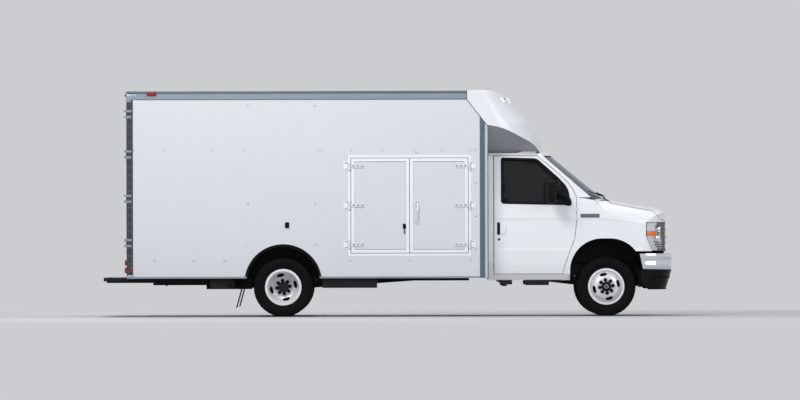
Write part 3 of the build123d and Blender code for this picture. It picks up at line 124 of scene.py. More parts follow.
def material(name, colour, rough, metal=0.0, vary=0.04, scale=2.5, bump=0.0, bump_scale=300.0,
             stretch=(1, 1, 1), coat=0.0, grime=0.0, grime_top=0.9, second=None, spec=0.5, sheen=0.0,
             ior=1.5, alpha=1.0):
    """Colour that drifts with noise, matching roughness, fine relief, and road grime low down."""
    m = LOOKS[name] = bpy.data.materials.new(name)
    m.use_nodes = True
    tree = m.node_tree
    tree.nodes.clear()
    where = node_of(tree, "TexCoord").outputs["Object"]
    place = node_of(tree, "Mapping", Vector=where, Scale=stretch).outputs["Vector"]
    drift = node_of(tree, "TexNoise", Vector=place, Scale=scale, Detail=5.0, Roughness=0.6).outputs["Fac"]
    tint = colour_mix(tree, drift, rgba(colour, 1 - vary), rgba(second or colour, 1 + vary))
    gloss = node_of(tree, "MapRange", Value=drift, To_Min=max(0.0, rough - 0.06),
                    To_Max=min(1.0, rough + 0.06))
    if grime:
        height = node_of(tree, "SeparateXYZ", Vector=where).outputs["Z"]
        low = node_of(tree, "MapRange", Value=height, From_Min=0.1, From_Max=grime_top, To_Min=grime,
                      To_Max=0.0)
        patch = node_of(tree, "TexNoise", Vector=where, Scale=6.0, Detail=8.0, Roughness=0.7)
        dirt = node_of(tree, "Math", low.outputs["Result"], patch.outputs["Fac"],
                       settings={"operation": "MULTIPLY"})
        tint = colour_mix(tree, dirt.outputs["Value"], tint, GRIME)
    shader = node_of(
        tree, "BsdfPrincipled", Base_Color=tint, Roughness=gloss.outputs["Result"], Metallic=metal, IOR=ior,
        Coat_Weight=coat, Coat_Roughness=0.05, Specular_IOR_Level=spec, Sheen_Weight=sheen, Alpha=alpha,
    )
    if bump:
        grain = node_of(tree, "TexNoise", Vector=place, Scale=bump_scale, Detail=3.0).outputs["Fac"]
        relief = node_of(tree, "Bump", Strength=bump, Distance=0.001, Height=grain)
        tree.links.new(relief.outputs["Normal"], shader.inputs["Normal"])
    node_of(tree, "OutputMaterial", Surface=shader.outputs["BSDF"])
    return name


WHITE = material("white_paint", (0.85, 0.86, 0.88), 0.22, vary=0.01, scale=1.2, bump=0.02, bump_scale=60,
                 coat=0.6, grime=0.25)
PANEL = material("white_panel", (0.67, 0.683, 0.71), 0.36, vary=0.015, scale=0.8, bump=0.05, bump_scale=90,
                 grime=0.2)
CAP = material("cap_gelcoat", (0.78, 0.79, 0.82), 0.27, vary=0.012, scale=1.0, bump=0.02, bump_scale=40,
               coat=0.4)
# The cap's underside: its darker grey is painted shade under the overhanging cap
CAP_UNDER_SHADE = material("cap_underside_shade", (0.34, 0.35, 0.375), 0.45, vary=0.05, scale=3, bump=0.06,
                     bump_scale=200)
ALU = material("edge_aluminium", (0.32, 0.365, 0.43), 0.38, metal=0.75, vary=0.08, scale=9,
               stretch=(0.3, 1, 6),
               bump=0.06, bump_scale=120)
# Darker aluminium: painted shade on the rails' and posts' bands and on the wall bolts' dark rings; also the
# blank badges
DARK_ALU = material("dark_aluminium", (0.13, 0.16, 0.20), 0.42, metal=0.6, vary=0.1, scale=9, bump=0.05,
                    bump_scale=120)
# Lighter aluminium: a painted highlight on the rails' and posts' facets
ALU_HIGHLIGHT = material("aluminium_highlight", (0.66, 0.69, 0.73), 0.34, metal=0.7, vary=0.05, scale=9, bump=0.05,
                     bump_scale=120)
# Near-black aluminium of the rear frame: its dark tone is painted shade
POST_ALU_SHADE = material("post_aluminium_shade", (0.055, 0.068, 0.084), 0.4, metal=0.6, vary=0.1, scale=9,
                    stretch=(6, 1, 0.3), bump=0.05, bump_scale=120)
SILVER = material("bright_steel", (0.72, 0.74, 0.77), 0.28, metal=0.9, vary=0.06, scale=30, bump=0.04,
                  bump_scale=400)
BLACK = material("frame_black", (0.006, 0.006, 0.007), 0.5, vary=0.25, scale=8, bump=0.15, bump_scale=150,
                 grime=0.05, grime_top=0.8, spec=0.2)
CAST = material("cast_metal", (0.055, 0.055, 0.06), 0.7, metal=0.3, vary=0.3, scale=20, bump=0.4,
                bump_scale=120)
CHROME = material("chrome", (0.90, 0.91, 0.93), 0.07, metal=1.0, vary=0.02, scale=4, grime=0.12)
BUMPER_CHROME = material("bumper_chrome", (0.80, 0.83, 0.88), 0.09, metal=1.0, vary=0.02, scale=4, grime=0.12)
LAMP_CHROME = material("lamp_chrome", (0.86, 0.87, 0.89), 0.16, metal=1.0, vary=0.02, scale=6)
MIRROR = material("mirror_glass", (0.80, 0.83, 0.86), 0.03, metal=1.0, vary=0.01)
PLASTIC = material("black_plastic", (0.004, 0.0042, 0.005), 0.5, vary=0.2, scale=12, bump=0.2, bump_scale=700,
                   spec=0.12)
TRIM = material("cab_plastic", (0.035, 0.036, 0.041), 0.6, vary=0.15, scale=10, bump=0.3, bump_scale=600)
RUBBER = material("tyre_rubber", (0.0045, 0.0045, 0.005), 0.7, vary=0.25, scale=14, bump=0.2, bump_scale=350,
                  grime=0.012, grime_top=0.5, spec=0.07)
FLAP = material("flap_rubber", (0.004, 0.004, 0.0045), 0.7, vary=0.2, scale=10, bump=0.2, bump_scale=200,
                grime=0.012, spec=0.07)
material("wheel_paint", (0.80, 0.81, 0.83), 0.35, metal=0.25, vary=0.03, scale=18, bump=0.05,
         bump_scale=300, grime=0.12, grime_top=0.5)
DOOR_GLASS = material("door_glass", (0.012, 0.013, 0.014), 0.03, vary=0.05, ior=1.3, spec=0.3, alpha=0.64)
# Windshield glass: its deep blue and low transparency are a painted reflection of the sky
SKY_REFLECTION_BLUE = material("windshield_glass", (0.010, 0.036, 0.105), 0.05, vary=0.15, scale=1.5, spec=0.10,
                     alpha=0.76)
LENS = material("lamp_lens", (0.93, 0.95, 0.97), 0.03, vary=0.01, ior=1.4, alpha=0.10)
RED = material("lamp_red", (0.22, 0.010, 0.008), 0.18, vary=0.1, scale=40, bump=0.3, bump_scale=500, coat=0.5)
AMBER = material("lamp_amber", (0.90, 0.17, 0.01), 0.2, vary=0.1, scale=40, bump=0.3, bump_scale=400,
                 coat=0.5)
LAMP_WHITE = material("lamp_white", (0.86, 0.87, 0.90), 0.2, vary=0.02, scale=20, bump=0.1, bump_scale=300,
                      coat=0.5)
CLOTH = material("seat_cloth", (0.085, 0.088, 0.10), 0.9, vary=0.25, scale=90, bump=0.8, bump_scale=900,
                 sheen=0.3)
SEAT_BAND = material("seat_band", (0.16, 0.165, 0.18), 0.9, vary=0.3, scale=140, bump=0.8, bump_scale=1100,
                     sheen=0.3)
WOOD = material("floor_wood", (0.30, 0.19, 0.11), 0.6, vary=0.25, scale=3, stretch=(1, 22, 8), bump=0.3,
                bump_scale=30, second=(0.42, 0.30, 0.18))
DISPLAY = material("instrument_face", (0.02, 0.024, 0.03), 0.2, vary=0.1, scale=30, coat=0.8)

# CAD nodes whose material isn't their slot's own
SPECIAL = {
    "nose_cap": CAP, "windshield": SKY_REFLECTION_BLUE, "door_glass_left": DOOR_GLASS, "door_glass_right": DOOR_GLASS,
    "side_door_frame": WHITE, "side_door_rear": PANEL, "side_door_front": PANEL, "rear_frame": POST_ALU_SHADE,
}
for part in frame["record"]["subparts"]:
    obj, slot = nodes[part["node"]], part["material_slot"]
    chosen = LOOKS[SPECIAL.get(part["node"], LENS if slot == "lamp_glass" else slot)]
    if not obj.material_slots:
        obj.data.materials.append(chosen)
    for held in obj.material_slots:
        held.material = chosen


# Mesh building

def put_in_scene(name, mesh):
    obj = bpy.data.objects.new(name, mesh)
    bpy.context.scene.collection.objects.link(obj)
    return obj


class Piece:
    """Collects geometry for one object of the scene."""

    def __init__(self):
        self.bm = bmesh.new()

    def box(self, lo, hi, bevel=0.0, segments=2, turn=None):
        lo, hi = Vector(lo), Vector(hi)
        made = bmesh.ops.create_cube(self.bm, size=1.0)["verts"]
        for v in made:
            v.co = v.co * (hi - lo)
            if turn is not None:
                v.co = turn @ v.co
            v.co += (lo + hi) / 2
        if bevel:
            edges = list({e for v in made for e in v.link_edges})
            bmesh.ops.bevel(self.bm, geom=edges, offset=bevel, segments=segments, affect="EDGES", profile=0.6)
        return self

    def block(self, xs, ys, zs, bevel=0.0, side=1, segments=2):
        """A box between two places along each axis; side -1 mirrors it to the truck's right."""
        low, high = sorted((side * ys[0], side * ys[1]))
        return self.box((xs[0], low, zs[0]), (xs[1], high, zs[1]), bevel, segments)

    def blocks(self, rows, side=1):
        """Blocks placed from the front axle: limits along, across and up, bevel, segments."""
        for (x0, x1), ys, zs, *finish in rows:
            bevel, segments = (*finish, *(0.0, 2)[len(finish):])
            self.block((FRONT_X + x0, FRONT_X + x1), ys, zs, bevel, side, segments)
        return self

    def bar(self, start, end, radius, end_radius=None, sides=16):
        start, end = Vector(start), Vector(end)
        way = end - start
        place = Matrix.Translation((start + end) / 2) @ way.to_track_quat("Z", "Y").to_matrix().to_4x4()
        bmesh.ops.create_cone(
            self.bm, cap_ends=True, segments=sides, radius1=radius, depth=way.length, matrix=place,
            radius2=radius if end_radius is None else end_radius,
        )
        return self

    def dome(self, centre, radius, height, normal, sides=14):
        """A rounded bolt head standing on a surface."""
        turn = Vector(normal).to_track_quat("Z", "Y").to_matrix().to_4x4()
        place = Matrix.Translation(Vector(centre)) @ turn @ Matrix.Diagonal((radius, radius, height, 1))
        bmesh.ops.create_uvsphere(self.bm, u_segments=sides, v_segments=8, radius=1.0, matrix=place)
        return self

    def grid(self, rows, close_u=False, close_v=False):
        """A surface through rows of points."""
        made = [[self.bm.verts.new(p) for p in row] for row in rows]
        count = len(rows[0])
        for i in range(len(rows) if close_u else len(rows) - 1):
            a, b = made[i], made[(i + 1) % len(rows)]
            for j in range(count if close_v else count - 1):
                k = (j + 1) % count
                self.cap((a[j], a[k], b[k], b[j]))
        return made

    def cap(self, row):
        """A face on a row of points, unless it is there already."""
        try:
            self.bm.faces.new(row)
        except ValueError:
            pass

    def lathe(self, profile, centre, axis, sides=40):
        """Half-section of (along, radius) turned about an axis through centre."""
        turn = Vector(axis).to_track_quat("Z", "Y").to_matrix()
        self.grid([
            [Vector(centre) + turn @ Vector((r * math.cos(t), r * math.sin(t), a)) for a, r in profile]
            for t in full_turn(sides)
        ], close_u=True)
        return self

    def revolve(self, profile, centre, sides, side):
        """Half-section of (out, radius) turned about a line across the truck; side -1 mirrors it."""
        x, y, z = centre
        self.grid([[(x + r * math.cos(t), y + side * o, z + r * math.sin(t)) for o, r in profile]
                   for t in full_turn(sides)], close_u=True)
        return self

    def tube(self, points, radius, sides=10, flat=1.0):
        """A round rod along points."""
        points = [Vector(p) for p in points]
        rows, normal = [], None
        for i, p in enumerate(points):
            way = (points[min(i + 1, len(points) - 1)] - points[max(i - 1, 0)]).normalized()
            if normal is None:
                normal = way.orthogonal().normalized()
            normal = (normal - way * normal.dot(way)).normalized()
            other = way.cross(normal)
            rows.append([p + (normal * math.cos(t) * flat + other * math.sin(t)) * radius
                         for t in full_turn(sides)])
        self.close_ends(self.grid(rows, close_v=True))
        return self

    def close_ends(self, made):
        self.cap(made[0][::-1])
        self.cap(made[-1])

    def done(self, name, mat, body="chassis", slot=None, smooth=40, bevel=0.0, thick=0.0, replaces=()):
        """Makes the object, hangs it under its body's empty and hides the CAD nodes it stands for; its slot
        is not used.
        """
        bmesh.ops.recalc_face_normals(self.bm, faces=self.bm.faces)
        mesh = bpy.data.meshes.new(name)
        self.bm.to_mesh(mesh)
        self.bm.free()
        mesh.materials.append(LOOKS[mat])
        obj = put_in_scene(name, mesh)
        for poly in mesh.polygons:
            poly.use_smooth = smooth > 0
        if smooth > 0:
            mesh.set_sharp_from_angle(angle=math.radians(smooth))
        if thick:
            skin = obj.modifiers.new("skin", "SOLIDIFY")
            skin.thickness = thick
            skin.offset = 0
        if bevel:
            edge = obj.modifiers.new("edge", "BEVEL")
            edge.width = bevel
            edge.segments = 2
            edge.limit_method = "ANGLE"
            edge.harden_normals = False
        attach(obj, body)
        if replaces:
            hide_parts(*replaces)


def full_turn(count):
    return [2 * math.pi * k / count for k in range(count)]


def interpolate(table, value):
    """Second column of a table at a value of its first."""
    for (a, fa), (b, fb) in zip(table, table[1:]):
        if a <= value <= b:
            return fa + (fb - fa) * (value - a) / (b - a)
    return table[0][1] if value < table[0][0] else table[-1][1]


# Half width of the cab's side at each height
CAB_SIDE = (
    (0.448, 0.930), (0.530, 0.985), (0.640, 1.001), (0.819, 1.008), (0.850, 1.001), (1.190, 1.001),
    (1.220, 1.008), (1.403, 0.990), (1.985, 0.868), (2.025, 0.820),
)


def side_y(z):
    return interpolate(CAB_SIDE, z)


def smooth_table(table, value, column):
    """A column of a table at a value of its first, on a curve that never overshoots."""
    xs = [row[0] for row in table]
    ys = [row[column] for row in table]
    if value <= xs[0]:
        return ys[0]
    if value >= xs[-1]:
        return ys[-1]
    i = max(k for k in range(len(xs) - 1) if xs[k] <= value)
    steps = [(ys[k + 1] - ys[k]) / (xs[k + 1] - xs[k]) for k in range(len(xs) - 1)]

    def slope(k):
        if k == 0 or k == len(xs) - 1:
            return steps[0] if k == 0 else steps[-1]
        a, b = steps[k - 1], steps[k]
        return 0.0 if a * b <= 0 else 2 * a * b / (a + b)

    h = xs[i + 1] - xs[i]
    t = (value - xs[i]) / h
    return (
        (2 * t**3 - 3 * t**2 + 1) * ys[i] + (t**3 - 2 * t**2 + t) * h * slope(i)
        + (-2 * t**3 + 3 * t**2) * ys[i + 1] + (t**3 - t**2) * h * slope(i + 1)
    )


def arc3(a, b, c, count):
    """Points on the circle through three points of a plane."""
    (ax, ay), (bx, by), (cx, cy) = a, b, c
    aa, bb, cc = ax**2 + ay**2, bx**2 + by**2, cx**2 + cy**2
    d = 2 * (ax * (by - cy) + bx * (cy - ay) + cx * (ay - by))
    ux = (aa * (by - cy) + bb * (cy - ay) + cc * (ay - by)) / d
    uy = (aa * (cx - bx) + bb * (ax - cx) + cc * (bx - ax)) / d
    radius = math.hypot(ax - ux, ay - uy)
    t0, t1, t2 = (math.atan2(y - uy, x - ux) for x, y in (a, b, c))
    turn = (t2 - t0) % (2 * math.pi)
    if not (t1 - t0) % (2 * math.pi) <= turn:
        turn -= 2 * math.pi
    angles = [t0 + turn * i / (count - 1) for i in range(count)]
    return [(ux + radius * math.cos(t), uy + radius * math.sin(t)) for t in angles]


# The front's plan, in millimetres ahead of the front axle and across
CORNER_START, CORNER_MIDDLE, CORNER_END, NOSE = (380, 1012), (640, 905), (735, 640), 769


def front_plan(proud):
    """Plan line round the front, from its left side to its right: places and outward directions."""
    half = [(0, CORNER_START[1]), *arc3(CORNER_START, CORNER_MIDDLE, CORNER_END, 14)]
    face = arc3(CORNER_END, (NOSE, 0), (CORNER_END[0], -CORNER_END[1]), 19)[1:-1]
    line = half + face + [(x, -y) for x, y in reversed(half)]
    out = []
    for i, (x, y) in enumerate(line):
        (px, py), (nx, ny) = line[max(i - 1, 0)], line[min(i + 1, len(line) - 1)]
        dx, dy = nx - px, ny - py
        size = math.hypot(dx, dy)
        out.append((ahead(x) - dy / size * proud, (y * 0.001) + dx / size * proud, -dy / size, dx / size))
    return out


def offset_line(points, amount):
    """A closed clockwise outline, moved outward by amount."""
    out = []
    for i, (bx, by) in enumerate(points):
        (ax, ay), (cx, cy) = points[i - 1], points[(i + 1) % len(points)]
        first = Vector((ay - by, bx - ax)).normalized()
        second = Vector((by - cy, cx - bx)).normalized()
        push = (first + second) * (amount / (1 + first.dot(second)))
        out.append((bx + push.x, by + push.y))
    return out


def rounded(points, radius, steps=4):
    """A closed outline with its corners rounded."""
    out = []
    for i, p in enumerate(points):
        p, before, after = Vector(p), Vector(points[i - 1]), Vector(points[(i + 1) % len(points)])
        reach = min(radius, (before - p).length * 0.45, (after - p).length * 0.45)
        a, b = p + (before - p).normalized() * reach, p + (after - p).normalized() * reach
        for k in range(steps + 1):
            t = k / steps
            q = a * (1 - t) ** 2 + p * (2 * t * (1 - t)) + b * t**2
            out.append((q.x, q.y))
    return out


def rectangle(x0, x1, z0, z1):
    return [(x0, z0), (x0, z1), (x1, z1), (x1, z0)]


def divided(outline, count):
    """A closed outline with more points: count gives the parts of each edge."""
    out = []
    for (ax, ay), (bx, by) in zip(outline, outline[1:] + outline[:1]):
        parts = count(math.hypot(bx - ax, by - ay))
        out += [(ax + (bx - ax) * k / parts, ay + (by - ay) * k / parts) for k in range(parts)]
    return out


def ribbon(piece, outline, section, place):
    """A closed strip along an outline: section holds (outward, out of the surface) pairs."""
    rows = [[place(a, b, out) for a, b in offset_line(outline, away)] for away, out in section]
    return piece.grid(rows, close_v=True)


# Wheels

TREAD_HALF = 0.083
TREAD_RIBS = (-0.083, -0.058, -0.050, -0.020, -0.012, 0.012, 0.020, 0.050, 0.058, 0.083)
SIDEWALL = (
    (0.0762, 0.2055), (0.079, 0.224), (0.086, 0.232), (0.0995, 0.248), (0.1085, 0.268), (0.1122, 0.285),
    (0.1125, 0.300), (0.1105, 0.318), (0.1095, 0.3195), (0.1075, 0.334), (0.1000, 0.3525), (0.0930, 0.360),
)
TYRE_STEPS, BLOCK_STEPS = 216, 6
NUT_RADIUS = 0.0190
SLOT_RADIUS, SLOT_TURN, SLOT_SPREAD = 0.153, 14, 0.31
HUB_CAP = ((0.0, 0.0605), (0.004, 0.0605), (0.018, 0.058), (0.031, 0.0565), (0.034, 0.053), (0.0345, 0.030),
           (0.0345, 0.0001))
HUB_CENTRE = ((0.0345, 0.021), (0.040, 0.0205), (0.0425, 0.017), (0.0430, 0.010), (0.0405, 0.0001))
HUB_REAR = ((0.010, 0.066), (0.050, 0.064), (0.074, 0.062), (0.080, 0.058), (0.081, 0.0001))


def tyre_mesh(piece, centre_y, x, side):
    """A light truck tyre: ribs and shoulder blocks on the tread, rings on the sidewall."""
    cells = []
    for i, out in enumerate(TREAD_RIBS):
        radius = TYRE_RADIUS - (abs(out) / TREAD_HALF) ** 2.2 * 0.006
        if i in (0, len(TREAD_RIBS) - 1):
            cells.append((out, radius, "shoulder"))
        elif i % 2:
            cells += [(out, radius, "rib"), (out + 0.0015, radius - 0.009, "groove")]
        else:
            cells += [(out - 0.0015, radius - 0.009, "groove"), (out, radius, "rib")]
    profile = [(-o, r, "side") for o, r in SIDEWALL] + cells + [(o, r, "side") for o, r in reversed(SIDEWALL)]
    rows = []
    for k, t in enumerate(full_turn(TYRE_STEPS)):
        row = []
        phase = k % BLOCK_STEPS
        for o, r, kind in profile:
            if kind == "shoulder" and phase == 0:
                r -= 0.008
            elif ((kind == "rib" and phase == 3 and abs(o) < 0.052)
                  or (kind == "side" and r > 0.35 and phase == 0)):
                r -= 0.004
            row.append((x + r * math.cos(t), centre_y + side * o, TYRE_RADIUS + r * math.sin(t)))
        rows.append(row)
    piece.grid(rows, close_u=True, close_v=True)


def ring_places(count, circle, start):
    angles = [math.radians(start + 360 * i / count) for i in range(count)]
    return [(circle * math.cos(t), circle * math.sin(t)) for t in angles]


def lug_nuts(name, body, x, y, side, length):
    """Eight nuts, each with a flange, six flats and a domed end."""
    p = Piece()
    for dx, dz in ring_places(8, LUG_CIRCLE, 97.6):
        for a, b, wide, end_wide, sides in (
            (0.0, 0.005, 1.22, 1.12, 24), (0.005, length * 0.8, 1.05, 1.05, 6),
            (length * 0.8, length, 0.98, 0.55, 18),
        ):
            p.bar((x + dx, y + side * a, TYRE_RADIUS + dz), (x + dx, y + side * b, TYRE_RADIUS + dz),
                  NUT_RADIUS * wide, NUT_RADIUS * end_wide, sides=sides)
    p.done(name, PLASTIC, body)


def slot_shade_patches(name, body, x, y, side, face):
    """Flat dark rounded patches over the four vent slots, lying on the disc and closing them: painted shade
    for the slots' openings; face gives its place by radius.
    """
    p = Piece()
    for turn in range(4):
        rows = []
        for k in range(17):
            a = -1 + k / 8
            t = math.radians(SLOT_TURN + 90 * turn) + a * SLOT_SPREAD
            half = 0.0195 * (1 - abs(a) ** 3) ** 0.5 + 0.0005
            rows.append([(x + r * math.cos(t), y + side * (interpolate(face, r) + 0.0009),
                          TYRE_RADIUS + r * math.sin(t))
                         for r in (SLOT_RADIUS + half * (-1 + j / 2) for j in range(5))])
        p.grid(rows)
    p.done(name, FLAP, body, smooth=60)


def front_wheel(name, side):
    body, y = "front_wheel_" + name, side * FRONT_TRACK
    hub = (FRONT_X, y + side * DISC_OFFSET, TYRE_RADIUS)
    p = Piece()
    tyre_mesh(p, y, FRONT_X, side)
    p.done("tyre_front_" + name, RUBBER, body, smooth=35, replaces=("front_tyre_" + name,))
    lug_nuts("lug_nuts_front_" + name, body, FRONT_X, hub[1], side, 0.034)
    Piece().revolve(HUB_CAP, hub, 48, side).done("hub_cap_" + name, PLASTIC, body, smooth=35)
    # Dark patches of painted shade over the front wheel's vent slots
    slot_shade_patches("wheel_slots_front_" + name, body, FRONT_X, y, side,
                ((0.118, 0.134), (0.150, 0.120), (0.198, 0.055)))
    Piece().revolve(HUB_CENTRE, hub, 36, side).done("hub_centre_" + name, CAST, body, "wheel_paint",
                                                    smooth=35)
    p = Piece()
    vx, vz = (0.176 * part(math.radians(40)) for part in (math.cos, math.sin))
    for (k0, out0), (k1, out1), radius in (((1, 0.062), (0.94, 0.098), 0.0045),
                                           ((0.94, 0.097), (0.925, 0.106), 0.0055)):
        p.bar((FRONT_X + vx * k0, y + side * out0, TYRE_RADIUS + vz * k0),
              (FRONT_X + vx * k1, y + side * out1, TYRE_RADIUS + vz * k1), radius)
    p.done("valve_front_" + name, PLASTIC, body)


def rear_wheels(name, side):
    body, y = "rear_wheels_" + name, side * DUAL_CENTRE
    p = Piece()
    tyre_mesh(p, y + side * DISC_OFFSET, REAR_X, side)
    tyre_mesh(p, y - side * DISC_OFFSET, REAR_X, side)
    p.done("tyres_rear_" + name, RUBBER, body, smooth=35, replaces=("rear_tyres_" + name,))
    lug_nuts("lug_nuts_rear_" + name, body, REAR_X, y + side * 0.012, side, 0.036)
    # Dark patches of painted shade over the rear wheel's vent slots
    slot_shade_patches("wheel_slots_rear_" + name, body, REAR_X, y, side,
                ((0.113, 0.012), (0.145, 0.027), (0.198, 0.079)))
    p = Piece().revolve(HUB_REAR, (REAR_X, y, TYRE_RADIUS), 48, side)
    for dx, dz in ring_places(8, 0.048, 0):
        x, z = REAR_X + dx, TYRE_RADIUS + dz
        p.bar((x, y + side * 0.080, z), (x, y + side * 0.088, z), 0.0065, sides=6)
    p.done("hub_rear_" + name, BLACK, body, "cast_metal", smooth=35)


for name, side in SIDES:
    front_wheel(name, side)
    rear_wheels(name, side)


# Bolt heads, screws and rivets

# In the photo's pixels
SIDE_HEADS = (
    (248, 105.2), (315, 105.3), (134, 149.7), (164.5, 149.7), (212, 149.7), (243.6, 149.7), (320, 149.7),
    (351, 149.7), (382, 149.7), (413.7, 149.7), (416.5, 152), (441.5, 149.7), (470.4, 149.7), (475.3, 149.7),
    (475.8, 183), (475.8, 215.7), (475.8, 249.3), (247.7, 203.2), (315.4, 203.2), (247.7, 244.6),
    (315.4, 244.6), (154.3, 260), (193.8, 260), (224.4, 260), (349.8, 260), (410.1, 260), (470.4, 260),
)
heads, shadow_washers = Piece(), Piece()
for side in (-1, 1):
    for px, py in SIDE_HEADS:
        # The left wall has no doorway, so no bolts round one
        if side > 0 and py > 190 and 330 < px < 480:
            continue
        x, z = box_x(px), box_z(py)
        heads.dome((x, side * (WALL_OUT + 0.0015), z), 0.0120, 0.0075, (0, side, 0))
        # Dark rings round the heads: washers, with their darkness a painted shadow of the heads
        shadow_washers.bar((x, side * (WALL_OUT - 0.001), z), (x, side * (WALL_OUT + 0.0020), z), 0.0150, 0.0140,
                    sides=24)
heads.done("wall_bolts", WHITE, slot="white_panel", smooth=60)
shadow_washers.done("wall_bolt_washers", DARK_ALU, slot="flap_rubber", smooth=60)

rivets = Piece()


def rivet(side, x, z, radius=0.0045, height=0.0022):
    rivets.dome((x, side * BOX_HALF, z), radius, height, (0, side, 0), sides=8)


for side in (1, -1):
    for x in places(BOX_REAR + 0.12, BOX_FRONT - 0.50, 0.075):
        rivet(side, x, BOX_TOP - 0.022)
        rivet(side, x, BOX_TOP - 0.088)
        if abs(x - REAR_X) > 0.47:
            rivet(side, x, 0.489, 0.004, 0.002)
    for z in places(0.56, 2.66, 0.10):
        rivet(side, BOX_REAR + 0.022, z)
        rivet(side, BOX_REAR + 0.062, z)
        if z < 2.36:
            rivet(side, BOX_FRONT - 0.082, z)
rivets.done("rail_rivets", ALU, smooth=60)


# Side door hardware

DOOR_LOW = 0.785
for name, edge, along in (("rear", ahead(-3175), 1), ("front", ahead(-1712.5), -1)):
    straps, plates = Piece(), Piece()
    for z in (DOOR_LOW + 0.110, DOOR_LOW + 0.597, DOOR_LOW + 1.0835):
        for reach in (0.040, 0.093, 0.143):
            straps.dome((edge + along * reach, -WALL_OUT - 0.012, z), 0.0085, 0.004, RIGHT)
        for dx in (0.040, 0.062):
            for dz in (-0.036, 0.036):
                plates.dome((edge - along * dx, -WALL_OUT - 0.006, z + dz), 0.007, 0.0035, RIGHT)
    straps.done("strap_bolts_" + name, CAST, "side_door_" + name, "edge_aluminium", smooth=50)
    plates.done("plate_bolts_" + name, CAST, slot="edge_aluminium", smooth=50)


def on_wall(x, out, z):
    """A place on the right wall, standing out of it."""
    return x, -WALL_OUT - out, z


def wall_block(piece, x, half, outs, zs, bevel):
    """A block on the right wall, between two distances out of it."""
    return piece.block((x - half, x + half), (WALL_OUT + outs[0], WALL_OUT + outs[1]), zs, bevel, side=-1)


# Pull handle of the leading leaf, and the keyed lock on the other leaf
p = Piece()
x, z0, z1 = box_x(417.5), box_z(225), box_z(201.5)
wall_block(p, x, 0.022, (0, 0.006), (z0, z0 + 0.055), 0.004)
wall_block(p, x, 0.022, (0, 0.006), (z1 - 0.055, z1), 0.004)
grip = ((0.005, 0.022), (0.022, 0.030), (0.028, 0.060))
p.tube([on_wall(x, out, z0 + up) for out, up in grip] + [on_wall(x, out, z1 - up) for out,
                                                         up in reversed(grip)],
       0.009, sides=14)
for z in (z0 + 0.010, z0 + 0.046, z1 - 0.010, z1 - 0.046):
    p.dome(on_wall(x, 0.006, z), 0.005, 0.003, RIGHT)
p.done("pull_handle", CHROME, "side_door_front")
p = Piece()
for px, py in ((417, 164), (417, 169), (420, 241), (420, 246)):
    p.dome(on_wall(box_x(px), 0, box_z(py)), 0.006, 0.003, RIGHT)
p.done("leaf_rivets", SILVER, "side_door_front", smooth=50)
x, z = box_x(404.4), box_z(226.2)
p = wall_block(Piece(), x, 0.020, (0.002, 0.010), (z - 0.030, z + 0.030), 0.006)
p.bar(on_wall(x, 0.010, z + 0.006), on_wall(x, 0.018, z + 0.006), 0.012, sides=24)
wall_block(p, x, 0.005, (0.009, 0.016), (z - 0.095, z + 0.006), 0.002)
p.done("door_lock", PLASTIC, "side_door_rear")
x, z = box_x(287), box_z(225)
p = wall_block(Piece(), x, 0.026, (0, 0.012), (z - 0.036, z + 0.036), 0.008)
p.bar(on_wall(x, 0.011, z), on_wall(x, 0.040, z), 0.013, 0.009, sides=18).done("door_holdback", PLASTIC)

# Wheel arch lips on the box: radius and half width across the lip
ARCH_Z, ARCH_RADIUS, ARCH_FOOT = 0.420, 0.460, 0.478
ARCH_LIP = ((0.460, WALL_IN + 0.004), (0.4595, BOX_HALF - 0.0015), (0.463, BOX_HALF - 0.0008),
            (0.480, BOX_HALF - 0.0012), (0.482, WALL_OUT))
for name, side in SIDES:
    p = Piece()
    first = math.asin((ARCH_FOOT - ARCH_Z) / ARCH_RADIUS)
    p.grid([[(REAR_X + r * math.cos(t), side * out, ARCH_Z + r * math.sin(t)) for r, out in ARCH_LIP]
            for t in (first + (math.pi - 2 * first) * k / 60 for k in range(61))])
    p.done("arch_lip_" + name, FLAP, smooth=50)


# Nose cap over the cab

# Height, front at the middle, corner end, half width there, side start, ahead of the front axle
CAP_LEVELS = (
    (2.020, -0.762, -0.800, 0.555, -1.320), (2.083, -0.770, -0.808, 0.560, -1.325),
    (2.200, -0.802, -0.842, 0.580, -1.335), (2.282, -0.843, -0.885, 0.590, -1.350),
    (2.403, -0.907, -0.950, 0.600, -1.385), (2.482, -0.986, -1.031, 0.620, -1.415),
    (2.562, -1.067, -1.112, 0.640, -1.445), (2.661, -1.175, -1.222, 0.670, -1.480),
    (2.736, -1.244, -1.293, 0.700, -1.520), (2.784, -1.306, -1.354, 0.720, -1.550),
    (2.812, -1.375, -1.423, 0.740, -1.590),
)
# Lower edge of the cap's sides: ahead of the front axle, height, half width there
CAP_LIP = (
    (-1.850, 2.408, 1.219), (-1.475, 2.380, 1.219), (-1.340, 2.354, 1.217), (-1.255, 2.324, 1.198),
    (-1.176, 2.284, 1.160), (-1.097, 2.236, 1.105), (-1.018, 2.186, 1.030), (-0.940, 2.134, 0.930),
    (-0.890, 2.092, 0.850), (-0.850, 2.056, 0.790),
)
LIP_Z = [(x, z) for x, z, _ in CAP_LIP]
LIP_Y = [(x, y) for x, _, y in CAP_LIP]
CAP_TOP = CAP_LEVELS[-1][0]
CAP_REAR = 1.731
CAP_FOOT = (-1.4745, 2.366)
CAP_EDGE_TOP = 2.692
SOFFIT_Y, SOFFIT_Z = 0.740, 2.031
# Where a cap column's share of the way round passes from the side to the corner and on to the face
CORNER_FROM, CORNER_TO = 0.2, 0.65


